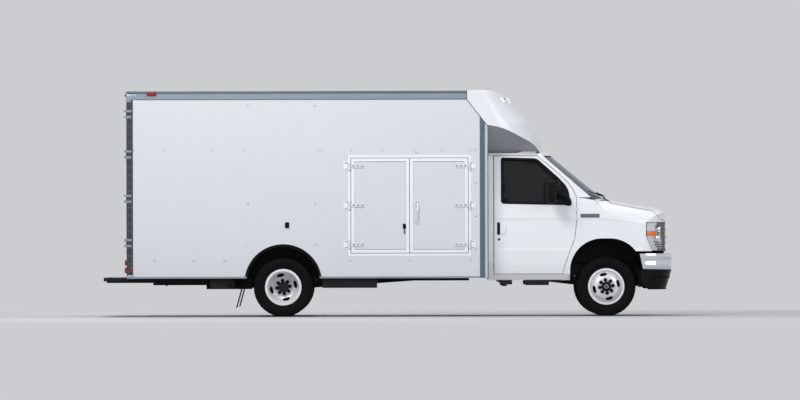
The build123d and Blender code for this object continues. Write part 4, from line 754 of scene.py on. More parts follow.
def cap_point(u, z):
    """Point on the cap's outside: u runs from 0 at the rear edge of a side to 1 at the middle."""
    front, end, end_y, start = (smooth_table(CAP_LEVELS, z, k) for k in (1, 2, 3, 4))
    rear = -CAP_REAR
    if z < CAP_EDGE_TOP:
        rear = CAP_FOOT[0] - (CAP_REAR + CAP_FOOT[0]) * (z - CAP_FOOT[1]) / (CAP_EDGE_TOP - CAP_FOOT[1])
    start = max(start, rear + 0.02)
    if u < CORNER_FROM:
        return rear + (start - rear) * u / CORNER_FROM, BOX_HALF
    if u < CORNER_TO:
        turns = [math.pi / 2 * k / 40 for k in range(41)]
        line = [(start + (end - start) * math.sin(t),
                 end_y + (BOX_HALF - end_y) * math.cos(t)) for t in turns]
        place = (u - CORNER_FROM) / 0.45 * 40
    else:
        line = arc3((end, end_y), (front, 0), (end, -end_y), 81)
        place = (u - CORNER_TO) / 0.35 * 40
    i = min(int(place), len(line) - 2)
    t = place - i
    return line[i][0] * (1 - t) + line[i + 1][0] * t, line[i][1] * (1 - t) + line[i + 1][1] * t


def soffit_height(x, y):
    """Height of the underside beside the cab roof."""
    if y <= SOFFIT_Y:
        return SOFFIT_Z
    edge_z, edge_y = interpolate(LIP_Z, x), interpolate(LIP_Y, x)
    return SOFFIT_Z + (edge_z - SOFFIT_Z) / (edge_y - SOFFIT_Y) * (y - SOFFIT_Y)


def cap_foot(u):
    """Height at which a column of the cap's outside meets the underside."""
    low, high = SOFFIT_Z - 0.006, CAP_TOP
    for _ in range(30):
        z = (low + high) / 2
        if soffit_height(*cap_point(u, z)) > z:
            low = z
        else:
            high = z
    return high


def nose_cap():
    columns = [0.0, 0.1, 0.2]
    columns += [0.2 + 0.45 * k / 22 for k in range(1, 23)] + [0.65 + 0.35 * k / 12 for k in range(1, 13)]
    rows = []
    for u in columns:
        foot = cap_foot(u)
        heights = [foot + (CAP_TOP - 0.004 - foot) * (1 - (1 - k / 34) ** 1.35) for k in range(35)]
        rows.append([(*cap_point(u, z), z) for z in heights])
    shell, below = Piece(), Piece()
    rear = FRONT_X - CAP_REAR
    for side in (1, -1):
        outside = [[(FRONT_X + x, side * y, z) for x, y, z in row] for row in rows]
        shell.grid(outside)
        # The top is flat, and ends at the load box's roof
        shell.grid([[(x, y, z), ((x * 6 + rear) / 7, y * 0.985, CAP_TOP),
                     (min(x - 0.02, (x + rear) / 2), y * 0.95, CAP_TOP),
                     (rear, y * 0.95, CAP_TOP - 0.001)] for x, y, z in (line[-1] for line in outside)])
        # Underside with a rolled lip, in a darker grey that is painted shade under the cap
        under = []
        for x, y, z in (row[0] for row in rows):
            line = [(FRONT_X + x, side * y, z)]
            for k in (0.04, 0.15, 0.4, 0.7, 1.0):
                across = y + (min(y, SOFFIT_Y - 0.01) - y) * k
                line.append((FRONT_X + x - 0.012 * min(1.0, k * 8), side * across,
                             soffit_height(x, across) + 0.0005))
            under.append(line)
        below.grid(under)
    bmesh.ops.remove_doubles(shell.bm, verts=shell.bm.verts, dist=0.0004)
    shell.done("nose_cap_shell", CAP, smooth=38, replaces=("nose_cap",))
    # The underside's darker material is painted shade
    below.done("nose_cap_underside", CAP_UNDER_SHADE, smooth=38, replaces=("nose_cap",))


def cap_seams():
    """The joint along the cap's slanted rear edge, its moulded lip, and its foot over the cab's roof."""
    seam, lip, foot, joint, screws = (Piece() for _ in range(5))
    for side in (1, -1):
        y = side * (BOX_HALF + 0.0005)
        corner = (FRONT_X - CAP_REAR, y, CAP_EDGE_TOP)
        seam.tube([corner, (FRONT_X + CAP_FOOT[0], y, CAP_FOOT[1])], 0.0035, sides=8)
        seam.tube([corner, (FRONT_X - CAP_REAR, y, BOX_TOP - 0.002)], 0.0035, sides=8)
        path = []
        for u in (0.03 + 0.60 * k / 39 for k in range(40)):
            z = cap_foot(u)
            x, y = cap_point(u, z)
            path.append((FRONT_X + x, side * (y - 0.002), z + 0.002))
        lip.tube(path, 0.0055, sides=8)
        rows = []
        for k in range(25):
            x = -1.130 + 0.262 * k / 24
            high = min(soffit_height(x, SOFFIT_Y + 0.045), 2.026 + 0.075 * k / 24)
            rows.append([(FRONT_X + x, side * (SOFFIT_Y + out), z)
                         for out, z in ((0.045, 2.023), (0.047, (2.023 + high) / 2), (0.038, high))])
        foot.grid(rows)
        # The dark line under the foot band: the seam to the roof, drawn wide and dark as a painted shadow
        # under the band
        joint.tube([(FRONT_X + x, side * (SOFFIT_Y + 0.030), 2.024) for x in (-1.300, -0.862)], 0.0045,
                   sides=6)
        screws.dome((box_x(475.5), side * BOX_HALF, box_z(106.7)), 0.010, 0.004, (0, side, 0))
    seam.done("cap_joint", FLAP, smooth=50)
    lip.done("cap_lip", CAP, smooth=60)
    foot.done("cap_foot_band", CAP, smooth=60, thick=0.003)
    joint.done("cap_foot_seam_shadow", FLAP, smooth=60)
    screws.done("cap_screws", SILVER, smooth=60)


def on_cap(u, z, side):
    """Point, outward direction and direction round the cap."""
    here = Vector(cap_point(u, z))
    du = Vector(cap_point(min(u + 0.01, 0.999), z)) - here
    dz = Vector(cap_point(u, z + 0.01)) - here
    along = Vector((du.x, side * du.y, 0)).normalized()
    rise = Vector((dz.x, side * dz.y, 0.01)).normalized()
    normal = along.cross(rise).normalized()
    if normal.x < 0:
        normal = -normal
    return Vector((FRONT_X + here.x, side * here.y, z)), normal, along


def cap_lamps():
    """Five clearance lamps along the cap's brow, the outer pair on its corners."""
    base, lens, slot = Piece(), Piece(), Piece()
    for u, side in ((0.50, 1), (0.50, -1), (0.905, 1), (0.905, -1), (0.995, 1)):
        point, normal, along = on_cap(u, 2.684, side)
        turn = Matrix((along, normal, normal.cross(along).normalized())).transposed()
        for piece, half, out in (
            (base, (0.050, 0.008, 0.042), 0.004), (lens, (0.040, 0.014, 0.030), 0.010),
            (slot, (0.031, 0.0165, 0.010), 0.010),
        ):
            centre = point + normal * out
            piece.box(centre - Vector(half), centre + Vector(half), turn=turn)
    base.done("cap_lamp_bases", LAMP_WHITE, bevel=0.004)
    lens.done("cap_lamp_lenses", LAMP_WHITE, bevel=0.004)
    slot.done("cap_lamp_slots", FLAP)


nose_cap()
cap_seams()
cap_lamps()


# Cab glazing

# Side window, ahead of the front axle and height
WINDOW_OUTLINE = (
    (-1.281, 1.403), (-1.303, 1.425), (-1.301, 1.955), (-1.285, 1.970), (-0.861, 1.958), (-0.593, 1.720),
    (-0.505, 1.625), (-0.466, 1.546), (-0.454, 1.435), (-0.505, 1.387),
)
WINDOW_SEAL = ((0.006, -0.002), (0.006, 0.003), (0.000, 0.005), (-0.018, 0.004), (-0.024, -0.004),
               (-0.024, -0.024))
WINDSHIELD_SLOPE, WINDSHIELD_RADIUS = 1.22, 2.650
WINDSHIELD_FOOT = (0.030, 1.440)
WINDSHIELD_OUTLINE = ((-0.928, 1.462), (-0.818, 1.998), (0.818, 1.998), (0.928, 1.462))
WINDSHIELD_SEAL = ((0.002, -0.003), (0.002, 0.0008), (-0.004, 0.0012), (-0.008, -0.002), (-0.010, -0.008),
                   (-0.012, -0.0115))
WIPER_Z = 1.474
DRIP_LINE = ((-1.452, 2.022), (-1.10, 2.022), (-0.862, 2.018), (-0.740, 1.915), (-0.575, 1.772),
             (-0.462, 1.662),
             (-0.398, 1.572), (-0.350, 1.475))


def on_side(side):
    """Places outline points of one side: distance ahead of the front axle, height, out of the surface."""
    return lambda x, z, out: (FRONT_X + x, side * (side_y(z) + out), z)


def on_windshield(y, z, out):
    bow = WINDSHIELD_RADIUS - math.sqrt(WINDSHIELD_RADIUS**2 - y * y)
    x = WINDSHIELD_FOOT[0] + (WINDSHIELD_FOOT[1] - z) * WINDSHIELD_SLOPE - bow
    size = math.hypot(1, WINDSHIELD_SLOPE)
    return FRONT_X + x + out / size, y, z + out * WINDSHIELD_SLOPE / size


def seal_place(y, z, out):
    """On the windshield, sinking along its top edge."""
    return on_windshield(y, z, out - 0.012 * min(max((z - 1.970) / 0.02, 0.0), 1.0))


def glazing():
    for name, side in SIDES:
        p = Piece()
        ribbon(p, rounded(WINDOW_OUTLINE, 0.035), WINDOW_SEAL, on_side(side))
        p.done("window_seal_" + name, PLASTIC, "cab_door_" + name, smooth=45)
    p = Piece()
    ribbon(p, rounded(divided(WINDSHIELD_OUTLINE, lambda length: 24), 0.03, 1), WINDSHIELD_SEAL, seal_place)
    p.done("windshield_seal", PLASTIC, smooth=45)


def wipers():
    p = Piece()
    low = WIPER_Z + 0.010
    for pivot_y, tip_y, tip_z in ((-0.14, -0.80, 1.546), (0.62, -0.02, 1.520)):
        foot = on_windshield(pivot_y, WIPER_Z - 0.01, 0.012)
        p.bar(on_windshield(pivot_y, WIPER_Z - 0.012, -0.004), foot, 0.016, 0.012, sides=20)
        middle = on_windshield((pivot_y + tip_y) / 2 - 0.06, (WIPER_Z + tip_z) / 2 + 0.012, 0.022)
        p.tube([foot, on_windshield(pivot_y - 0.08, low, 0.024), middle], 0.0065, sides=8)
        p.tube([on_windshield(pivot_y + (tip_y - pivot_y) * t, low + (tip_z - low) * t**1.2, 0.009)
                for t in (k / 12 for k in range(13))], 0.007, sides=6)
    p.done("wipers", PLASTIC)


def cowl():
    """Louvred black panel between hood and windshield."""
    p = Piece()
    rows = []
    for k in range(61):
        y = -0.78 + 1.56 * k / 60
        rear = on_windshield(y, 1.462, 0)[0] + 0.012
        top = 1.450 - 0.020 * (y / 0.82) ** 2 + (0.004 if k % 2 else 0.0015)
        rows.append([(rear, y, top), ((rear + ahead(46)) / 2, y, top + 0.002), (ahead(46), y, top - 0.007)])
    p.grid(rows)
    p.done("cowl_panel", PLASTIC, smooth=0, thick=0.003)


def drip_rails():
    p = Piece()
    for side in (1, -1):
        p.tube([on_side(side)(x, z, 0.002) for x, z in DRIP_LINE], 0.007, sides=8)
    p.done("drip_rails", WHITE, smooth=60)


glazing()
wipers()
cowl()
drip_rails()


# Mirrors, door handles and badges

MIRROR_X, MIRROR_Y, MIRROR_Z = (-0.739, -0.630), (1.120, 1.340), (1.400, 1.680)
MIRROR_ARMS = (
    ((-0.478, 0.985, 1.402), (-0.575, 1.050, 1.418), (-0.655, 1.150, 1.445)),
    ((-0.478, 0.972, 1.452), (-0.570, 1.035, 1.515), (-0.655, 1.150, 1.590)),
)
MIRROR_FOOT = ((-0.525, 1.378), (-0.525, 1.440), (-0.490, 1.478), (-0.440, 1.470), (-0.426, 1.400),
               (-0.440, 1.370))
FOOT_SECTION = ((0.002, -0.004), (0.0, 0.006), (-0.006, 0.014), (-0.020, 0.020), (-0.034, 0.022))
SAIL = ((-0.609, 1.392), (-0.609, 1.722), (-0.590, 1.712), (-0.508, 1.620), (-0.472, 1.540), (-0.460, 1.436),
        (-0.508, 1.392))
SAIL_SECTION = ((0.0, -0.004), (0.0, 0.004), (-0.003, 0.006))


def mirrors():
    rear = FRONT_X + MIRROR_X[0]
    for name, side in SIDES:
        body = "cab_door_" + name
        p = Piece().block((rear, FRONT_X + MIRROR_X[1]), MIRROR_Y, MIRROR_Z, 0.042, side, 7)
        for start, bend, end in (map(Vector, arm) for arm in MIRROR_ARMS):
            path = [start, start.lerp(bend, 0.6), bend, bend.lerp(end, 0.4), end]
            p.tube([(FRONT_X + x, side * y, z) for x, y, z in path], 0.015, sides=16)
        for outline, section in ((rounded(MIRROR_FOOT, 0.03), FOOT_SECTION),
                                 (rounded(SAIL, 0.012, 3), SAIL_SECTION)):
            p.cap(ribbon(p, outline, section, on_side(side))[-1])
        p.done("mirror_head_" + name, PLASTIC, body, smooth=45, replaces=("mirror_" + name,))
        p = Piece()
        for zs in ((1.512, MIRROR_Z[1] - 0.040), (MIRROR_Z[0] + 0.040, 1.502)):
            p.block((rear - 0.0006, rear + 0.004), (MIRROR_Y[0] + 0.040, MIRROR_Y[1] - 0.040), zs, 0.0005,
                    side)
        p.done("mirror_glass_" + name, MIRROR, body, smooth=30)


def door_handles():
    x0, x1, z0, z1 = cab_x(497), cab_x(506.3), cab_z(235), cab_z(222.6)
    split = x0 + 0.037
    y = side_y((z0 + z1) / 2)
    badge_z = cab_z(218), cab_z(214.2)
    badge_y = side_y(sum(badge_z) / 2) + 0.0015
    for name, side in SIDES:
        body = "cab_door_" + name
        p = Piece().block((split, x1), (y - 0.002, y + 0.004), (z0, z1), 0.002, side, 3)
        p.block((split + 0.004, x1 - 0.008), (y + 0.003, y + 0.013), (z0 + 0.014, z1 - 0.014), 0.004, side, 3)
        p.done("door_handle_" + name, WHITE, body)
        p = Piece().block((x0, split), (y - 0.002, y + 0.0025), (z0, z1), 0.001, side, 3)
        p.done("door_handle_slot_" + name, PLASTIC, body)
        centre = Vector((cab_x(499), side * (y - 0.001), cab_z(239.6)))
        p = Piece().lathe([(0.0, 0.0165), (0.003, 0.0160), (0.004, 0.0120), (0.0035, 0.0001)], centre,
                          (0, side, 0), 28)
        key_half = Vector((0.001, 0.0046, 0.006))
        p.box(centre - key_half, centre + key_half)
        p.done("key_lock_" + name, CAST, body, "edge_aluminium")
        p = Piece().block((cab_x(580.5), cab_x(599.5)), (badge_y - 0.005, badge_y + 0.004), badge_z, 0.0025,
                          side, 3)
        p.done("blank_badge_" + name, DARK_ALU, slot="chrome")


mirrors()
door_handles()


# Front end

BUMPER_SHIFT = 0.090
BUMPER_Z = (0.572, 0.778)
BUMPER_REAR = (0.415, 0.460)
# Out of the plan line and height
BUMPER_SECTION = (
    (-0.024, 0.776), (-0.012, 0.778), (-0.003, 0.774), (0.000, 0.762), (0.000, 0.742), (-0.001, 0.716),
    (-0.006, 0.706), (-0.008, 0.694), (-0.008, 0.668), (-0.004, 0.658), (0.000, 0.648), (-0.001, 0.625),
    (-0.006, 0.600), (-0.015, 0.581), (-0.024, 0.574), (-0.020, 0.60), (-0.020, 0.74),
)
LAMP_Z = (0.806, 1.168)
LAMP_Y = 0.560
# Lower edge of a headlamp: it slopes between these two places
LAMP_OUTLINE = ((0.496, 0.985), (0.571, 0.806))
# Half width of the body at the nose, by height
NOSE_SIDE = (
    (0.448, 0.930), (0.530, 0.985), (0.640, 1.001), (0.850, 1.001), (1.085, 0.995), (1.112, 0.990),
    (1.142, 0.980), (1.172, 0.964), (1.204, 0.940), (1.240, 0.902),
)
NOSE_SECTION_X = 0.779


def clip_y(x, z):
    """Half width of the front end, tapering from the axle to the nose."""
    t = min(max(x / NOSE_SECTION_X, 0.0), 1.0)
    return side_y(z) * (1 - t) + interpolate(NOSE_SIDE, z) * t


def shifted_plan(proud, shift):
    return [(x + shift, y, nx, ny) for x, y, nx, ny in front_plan(proud)]


def bumper():
    line = shifted_plan(0.003, BUMPER_SHIFT)[1:-1]
    rows = []
    for i in range(-6, len(line) + 6):
        x, y, nx, ny = line[min(max(i, 0), len(line) - 1)]
        beyond = max(-i, i - len(line) + 1, 0) / 6
        row = []
        for out, z in BUMPER_SECTION:
            drop = (BUMPER_Z[1] - z) / (BUMPER_Z[1] - BUMPER_Z[0])
            end = FRONT_X + BUMPER_REAR[0] + (BUMPER_REAR[1] - BUMPER_REAR[0]) * drop
            row.append((x * (1 - beyond) + end * beyond + (0 if beyond else nx * out), y + ny * out, z))
        rows.append(row)
    p = Piece()
    p.close_ends(p.grid(rows, close_v=True))
    p.done("bumper_chrome", BUMPER_CHROME, smooth=50, replaces=("front_bumper",))


def front_filler():
    """Black panel that closes the gap between the bumper and the lamps, set back from both."""
    p = Piece()
    p.grid([[(x, y, 0.745), (x, y, 0.815)] for x, y, _, _ in front_plan(-0.024) if x - FRONT_X >= 0.40])
    p.done("front_filler", FLAP, thick=0.004)


def lamp_low(x):
    """Lower edge of a headlamp at a distance ahead of the front axle."""
    (x0, z0), (x1, z1) = LAMP_OUTLINE
    return z1 if x >= x1 else z0 + (z1 - z0) * (x - x0) / (x1 - x0)


def lamp_face(line, drawn, side):
    """The lamp's crowned face, drawn back along the plan line's normals."""
    rows = []
    for x, y, nx, ny in line:
        low, high = lamp_low(x - FRONT_X) + 0.004, LAMP_Z[1] - 0.004
        row = []
        for k in range(13):
            z = low + (high - low) * k / 12
            crown = 0.006 * math.sin(math.pi * k / 12)
            limit = clip_y(x - FRONT_X, z)
            row.append((x - nx * drawn + nx * crown * 0.3,
                        side * (min(y, limit) - ny * drawn + ny * crown * 0.3), z))
        rows.append(row)
    p = Piece()
    p.grid(rows)
    return p


def amber_marker(side):
    rows = []
    for k in range(9):
        x = cab_x(647.6) + (cab_x(656.6) - cab_x(647.6)) * k / 8
        y = interpolate([q[:2] for q in front_plan(0.0)[:20]], x)
        row = []
        for j in range(5):
            z = cab_z(236.6) + (cab_z(231.4) - cab_z(236.6)) * j / 4
            bulge = 0.004 * math.sin(math.pi * j / 4) * math.sin(math.pi * k / 8)
            row.append((x, side * (min(y, clip_y(x - FRONT_X, z)) - 0.0035 + bulge), z))
        rows.append(row)
    p = Piece()
    p.grid(rows)
    return p


def headlamps():
    line = [q for q in front_plan(0.0) if q[0] - FRONT_X >= 0.45 and q[1] >= LAMP_Y - 0.09]
    dense = []
    for (ax, ay, nx, ny), (bx, by, _, _) in zip(line, line[1:]):
        dense += [(ax + (bx - ax) * k / 4, ay + (by - ay) * k / 4, nx, ny) for k in range(4)]
    dense = [q for q in dense if q[0] - FRONT_X >= LAMP_OUTLINE[0][0] and q[1] >= LAMP_Y]
    for name, side in SIDES:
        lamp_face(dense, 0.001, side).done("lamp_lens_" + name, LENS, thick=0.002, replaces=("headlamps",))
        lamp_face(dense, 0.085, side).done("lamp_reflector_" + name, LAMP_CHROME)
        # Housing edge between lens and reflector
        p = Piece()
        ring = [(x, min(y, clip_y(x - FRONT_X, LAMP_Z[1])), nx, ny, LAMP_Z[1] - 0.003) for x, y, nx,
                ny in dense]
        ring += [(x, y, nx, ny, lamp_low(x - FRONT_X) + 0.003) for x, y, nx, ny in reversed(dense)]
        p.grid([[(x - nx * d, side * (y - ny * d), z) for x, y, nx, ny, z in ring] for d in (-0.0005, 0.088)],
               close_v=True)
        p.done("lamp_housing_" + name, PLASTIC, smooth=30, thick=0.004)
        # Bowls facing forward
        p = Piece()
        for z, size in ((0.960, 0.105), (1.085, 0.060)):
            bowl = [(-0.045, 0.020), (-0.040, 0.035), (-0.022, size * 0.6), (0.0, size * 0.85), (0.012, size),
                    (0.014, size + 0.004)]
            p.lathe(bowl, (ahead(668), side * 0.700, z), FORWARD, 48)
            p.dome((ahead(640), side * 0.700, z), 0.022, 0.030, FORWARD)
        p.done("lamp_bowls_" + name, CHROME)
        # Dark edge of the lamp towards the fender
        x, y = dense[0][0], min(dense[0][1], clip_y(LAMP_OUTLINE[0][0], 1.0))
        p = Piece().tube([(x, side * (y + 0.0005), LAMP_Z[1] - 0.004), (x, side * (y + 0.0015), 0.995)],
                         0.0035, 8)
        p.done("lamp_edge_" + name, PLASTIC)
        amber_marker(side).done("lamp_amber_" + name, AMBER, thick=0.008)
        p = Piece()
        for z in (0.845 + 0.03 * k for k in range(5)):
            p.tube([(x - nx * 0.030, side * (y - ny * 0.030), z) for x, y, nx, ny in dense
                    if lamp_low(x - FRONT_X) + 0.02 < z], 0.004, sides=6)
        p.done("lamp_ribs_" + name, CHROME)


def grille():
    p = Piece()
    for y in places(-0.50, 0.505, 0.05):
        x = ahead(NOSE) - 0.036 - 0.03 * (y / 0.64) ** 2
        p.block((x - 0.010, x), (y - 0.004, y + 0.004), (0.845, 1.130))
    p.done("grille_fins", PLASTIC, smooth=0)
    p = Piece()
    outline = divided(rounded(rectangle(-0.542, 0.542, 0.822, 1.152), 0.03),
                      lambda length: max(1, int(length / 0.05)))
    ribbon(p, outline, ((0.004, -0.002), (0.004, 0.003), (-0.010, 0.004), (-0.014, -0.002)),
           lambda y, z, out: (ahead(NOSE) - 0.034 * (y / 0.64) ** 2 + out, y, z))
    p.done("grille_surround", CHROME)
    p = Piece().lathe([(0.0, 0.062), (0.006, 0.060), (0.009, 0.052), (0.009, 0.0001)], (ahead(764), 0, 0.990),
                      FORWARD)
    p.done("blank_front_badge", SILVER, slot="chrome")


# Limits ahead of the front axle, across and up, and bevel
SPLASH_PANELS = (
    ((0.432, 0.500), (0.966, 0.972), (0.362, 0.565), 0.002),
    ((-0.452, -0.362), (0.919, 0.925), (0.432, 0.500), 0.002),
    ((box_x(206) - FRONT_X, box_x(252) - FRONT_X), (1.100, 1.106), (0.345, 0.479), 0.002),
    ((box_x(313.5) - FRONT_X, box_x(324) - FRONT_X), (1.100, 1.106), (0.420, 0.479), 0.002),
    ((0.398, 0.432), (0.800, 0.960), (0.360, 0.560), 0.002),
)
BODY_MOUNTS = (
    ((-1.345, -1.300), (0.90, 0.94), (0.420, 0.452), 0.006),
    ((-1.300, -1.235), (0.84, 0.94), (0.375, 0.450), 0.006),
    ((-1.235, -1.170), (0.84, 0.94), (0.395, 0.450), 0.006),
    ((-1.008, -0.712), (0.80, 0.94), (0.386, 0.452), 0.006),
    ((-0.712, -0.560), (0.80, 0.94), (0.425, 0.452), 0.006),
)


def valance():
    """Lips and openings below the bumper, splash panels by the wheels, and mounts below the doors."""
    p = Piece()
    for z, forward in ((0.338, 0.005), (0.480, 0.050)):
        p.tube([(x, y, z) for x, y, _, _ in shifted_plan(0.0, forward) if x - FRONT_X > 0.52], 0.006, sides=8)
    p.done("valance_lip", FLAP, smooth=50)
    p = Piece()
    for y in (-0.36, -0.12, 0.12, 0.36):
        face = 820 - 34 * (abs(y) + 0.09) ** 2 / 0.64**2
        p.block((ahead(785), ahead(face)), (y - 0.09, y + 0.09), (0.500, 0.540), 0.008)
    p.done("valance_slots", FLAP, smooth=30)
    splash, mounts = Piece(), Piece()
    for side in (1, -1):
        splash.blocks(SPLASH_PANELS, side)
        mounts.blocks(BODY_MOUNTS, side)
    splash.blocks((((0.330, 0.345), (-0.500, 0.500), (0.350, 0.640), 0.002),))
    splash.done("splash_panels", FLAP, smooth=30)
    mounts.done("body_mounts", BLACK, smooth=30)


bumper()
front_filler()
headlamps()
grille()
valance()


# Load box edges, rear frame and rear doors

STEP_REAR = BOX_REAR - 0.294
RAIL_SKIN = (BOX_HALF - 0.004, BOX_HALF + 0.0015)


def cap_edge_z(x):
    """Height of a front post under the cap's slanted rear edge."""
    share = (CAP_FOOT[0] - (x - FRONT_X)) / (CAP_REAR + CAP_FOOT[0])
    return CAP_FOOT[1] + (CAP_EDGE_TOP - CAP_FOOT[1]) * share - 0.006


def rail_covers():
    """Top rails and front posts with dark and light bands, painted shade and painted highlight for the rails'
    facets, and cast corners.
    """
    dark, light, cast = Piece(), Piece(), Piece()
    rail_front = FRONT_X - CAP_REAR - 0.002
    for side in (1, -1):
        # Dark bands along the top rail: painted shade
        dark.block((BOX_REAR + 0.002, rail_front), RAIL_SKIN, (BOX_TOP - 0.034, BOX_TOP - 0.001), 0.0015,
                   side)
        dark.block((BOX_REAR + 0.12, rail_front), RAIL_SKIN, (BOX_TOP - 0.110, BOX_TOP - 0.098), 0.0015, side)
        # On each front post a dark band of painted shade and a light band of painted highlight
        for piece, a, b in ((dark, box_x(480.1), box_x(485)), (light, box_x(485) + 0.002, BOX_FRONT - 0.002)):
            outline = ((a, 0.479), (b, 0.479), (b, cap_edge_z(b)), (a, cap_edge_z(a)))
            made = piece.grid([[(x, side * y, z) for x, z in outline] for y in reversed(RAIL_SKIN)],
                              close_v=True)
            piece.cap(made[0])
        for rear, front, inset, zs, bevel, segments in (
            (-0.003, 0.060, 0, (BOX_TOP - 0.140, BOX_TOP - 0.040), 0.012, 4),
            (-0.0022, 0.128, 0.001, (BOX_TOP - 0.112, BOX_TOP - 0.036), 0.012, 4),
            (-0.003, 0.090, 0, (0.474, 0.520), 0.010, 3),
        ):
            cast.block((BOX_REAR + rear, BOX_REAR + front),
                       (BOX_HALF - 0.045 + inset, BOX_HALF + 0.0025 - inset), zs,
                       bevel, side, segments)
    dark.done("rail_shade_bands", DARK_ALU, smooth=30)
    light.done("rail_highlight_bands", ALU_HIGHLIGHT, smooth=30)
    cast.done("corner_castings", ALU)


def small_lamps():
    """Lenses on the rail lamps and rear lamps, and the small markers on the rear posts."""
    red, amber = Piece(), Piece()
    post = BOX_HALF - 0.035
    for side in (1, -1):
        red.block((box_x(129.5), box_x(132.3)), (BOX_HALF, BOX_HALF + 0.012), (box_z(272), box_z(266.5)),
                  0.006, side, 4)
        red.block((BOX_REAR + 0.262, BOX_REAR + 0.361), (BOX_HALF + 0.012, BOX_HALF + 0.018),
                  (BOX_TOP - 0.052, BOX_TOP - 0.014), 0.0028, side)
        for piece, z in ((red, 0.545), (amber, 0.640)):
            piece.block((BOX_REAR - 0.026, BOX_REAR - 0.017), (post - 0.026, post + 0.026),
                        (z + 0.006, z + 0.064),
                        0.004, side)
    for y in (-1.184, 1.184, -0.150, 0.0, 0.150):
        red.block((BOX_REAR - 0.024, BOX_REAR - 0.017), (y - 0.022, y + 0.022),
                  (BOX_TOP - 0.0625, BOX_TOP - 0.0425), 0.003)
    red.done("red_lenses", RED)
    amber.done("amber_lenses", AMBER)


def on_rear(side):
    """Places outline points on a rear door: across, height, out of the surface."""
    return lambda y, z, out: (BOX_REAR - out, side * y, z)


def rear_doors():
    """Cam rods with keepers and a handle on each leaf, hinge bolts and edge seals."""
    keeper_x = (BOX_REAR - 0.020, BOX_REAR + 0.0005)
    for name, side in SIDES:
        body = "rear_door_" + name
        place = on_rear(side)
        rods, bolts, seal = Piece(), Piece(), Piece()
        for y in (0.16, 0.84):
            rods.bar(place(y, 0.800, 0.009), place(y, 2.655, 0.009), 0.0085, sides=18)
            for z in (0.815, 1.30, 1.95, 2.640):
                rods.block(keeper_x, (y - 0.034, y + 0.034), (z - 0.022, z + 0.022), 0.006, side, 3)
            grip = y + (0.30 if y < 0.5 else -0.30)
            rods.tube([place(y, 1.42, 0.011), place(y * 0.8 + grip * 0.2, 1.425, 0.014),
                       place(y * 0.2 + grip * 0.8, 1.425, 0.014), place(grip, 1.42, 0.012)], 0.008, sides=12)
            rods.block(keeper_x, (grip - 0.026, grip + 0.026), (1.392, 1.448), 0.006, side)
        for height in (0.150, 0.700, 1.250, 1.750):
            for y in (1.113, 1.043, 0.973, 0.913):
                bolts.dome(place(y, FLOOR_TOP + height, 0.0125), 0.009, 0.005, (-1, 0, 0))
        ribbon(seal, rectangle(0.006, 1.140, 0.780, 2.687),
               ((0.002, 0.0), (0.002, 0.003), (-0.014, 0.003), (-0.016, 0.0)),
               place)
        rods.done("lock_rods_" + name, SILVER, body)
        bolts.done("rear_strap_bolts_" + name, SILVER, body, smooth=50)
        seal.done("rear_door_seal_" + name, FLAP, body, smooth=30)


def side_door_seals():
    """A seal round each leaf, white trim on it, and the dark joint at the trim's inner edge."""
    for body, x0, x1 in (
        ("side_door_rear", ahead(-3169), ahead(-2446.8)), ("side_door_front", ahead(-2440.8), ahead(-1718.5)),
    ):
        seal, trim, joint = Piece(), Piece(), Piece()
        ribbon(seal, rectangle(x0, x1, 0.791, 1.966),
               ((0.001, -0.020), (0.001, -0.004), (-0.008, -0.001), (-0.008, -0.020)),
               lambda x, z, out: on_wall(x, out, z))
        inner = rectangle(x0 + 0.042, x1 - 0.042, 0.833, 1.924)
        for piece, section in (
            (trim, ((0.040, -0.001), (0.040, 0.0006), (0.0015, 0.0006), (0.0015, -0.001))),
            (joint, ((0.0015, -0.002), (0.0015, 0.0004), (-0.0035, -0.0022), (-0.0035, -0.0035))),
        ):
            ribbon(piece, inner, section, lambda x, z, out: on_wall(x, out + 0.003, z))
        seal.done(body + "_seal", FLAP, body, smooth=30)
        trim.done(body + "_trim", WHITE, body, "white_panel", smooth=30)
        joint.done(body + "_joint", CAST, body, "flap_rubber", smooth=30)


def rear_step():
    """Raised bars of the tread plate, and two flush reflectors."""
    p = Piece()
    for x in places(STEP_REAR + 0.015, BOX_REAR - 0.025, 0.028):
        for y in (-0.92 + 1.84 * k / 23 for k in range(24)):
            p.block((x - 0.004, x + 0.004), (y - 0.022, y + 0.022), (0.4875, 0.4915))
    p.done("step_tread", SILVER, slot="frame_black", smooth=0)
    p = Piece()
    for side in (-1, 1):
        p.block((STEP_REAR - 0.0001, STEP_REAR + 0.0015), (0.105, 0.152), (0.4445, 0.4865), 0.0004, side)
    p.done("step_reflectors", RED, smooth=30)


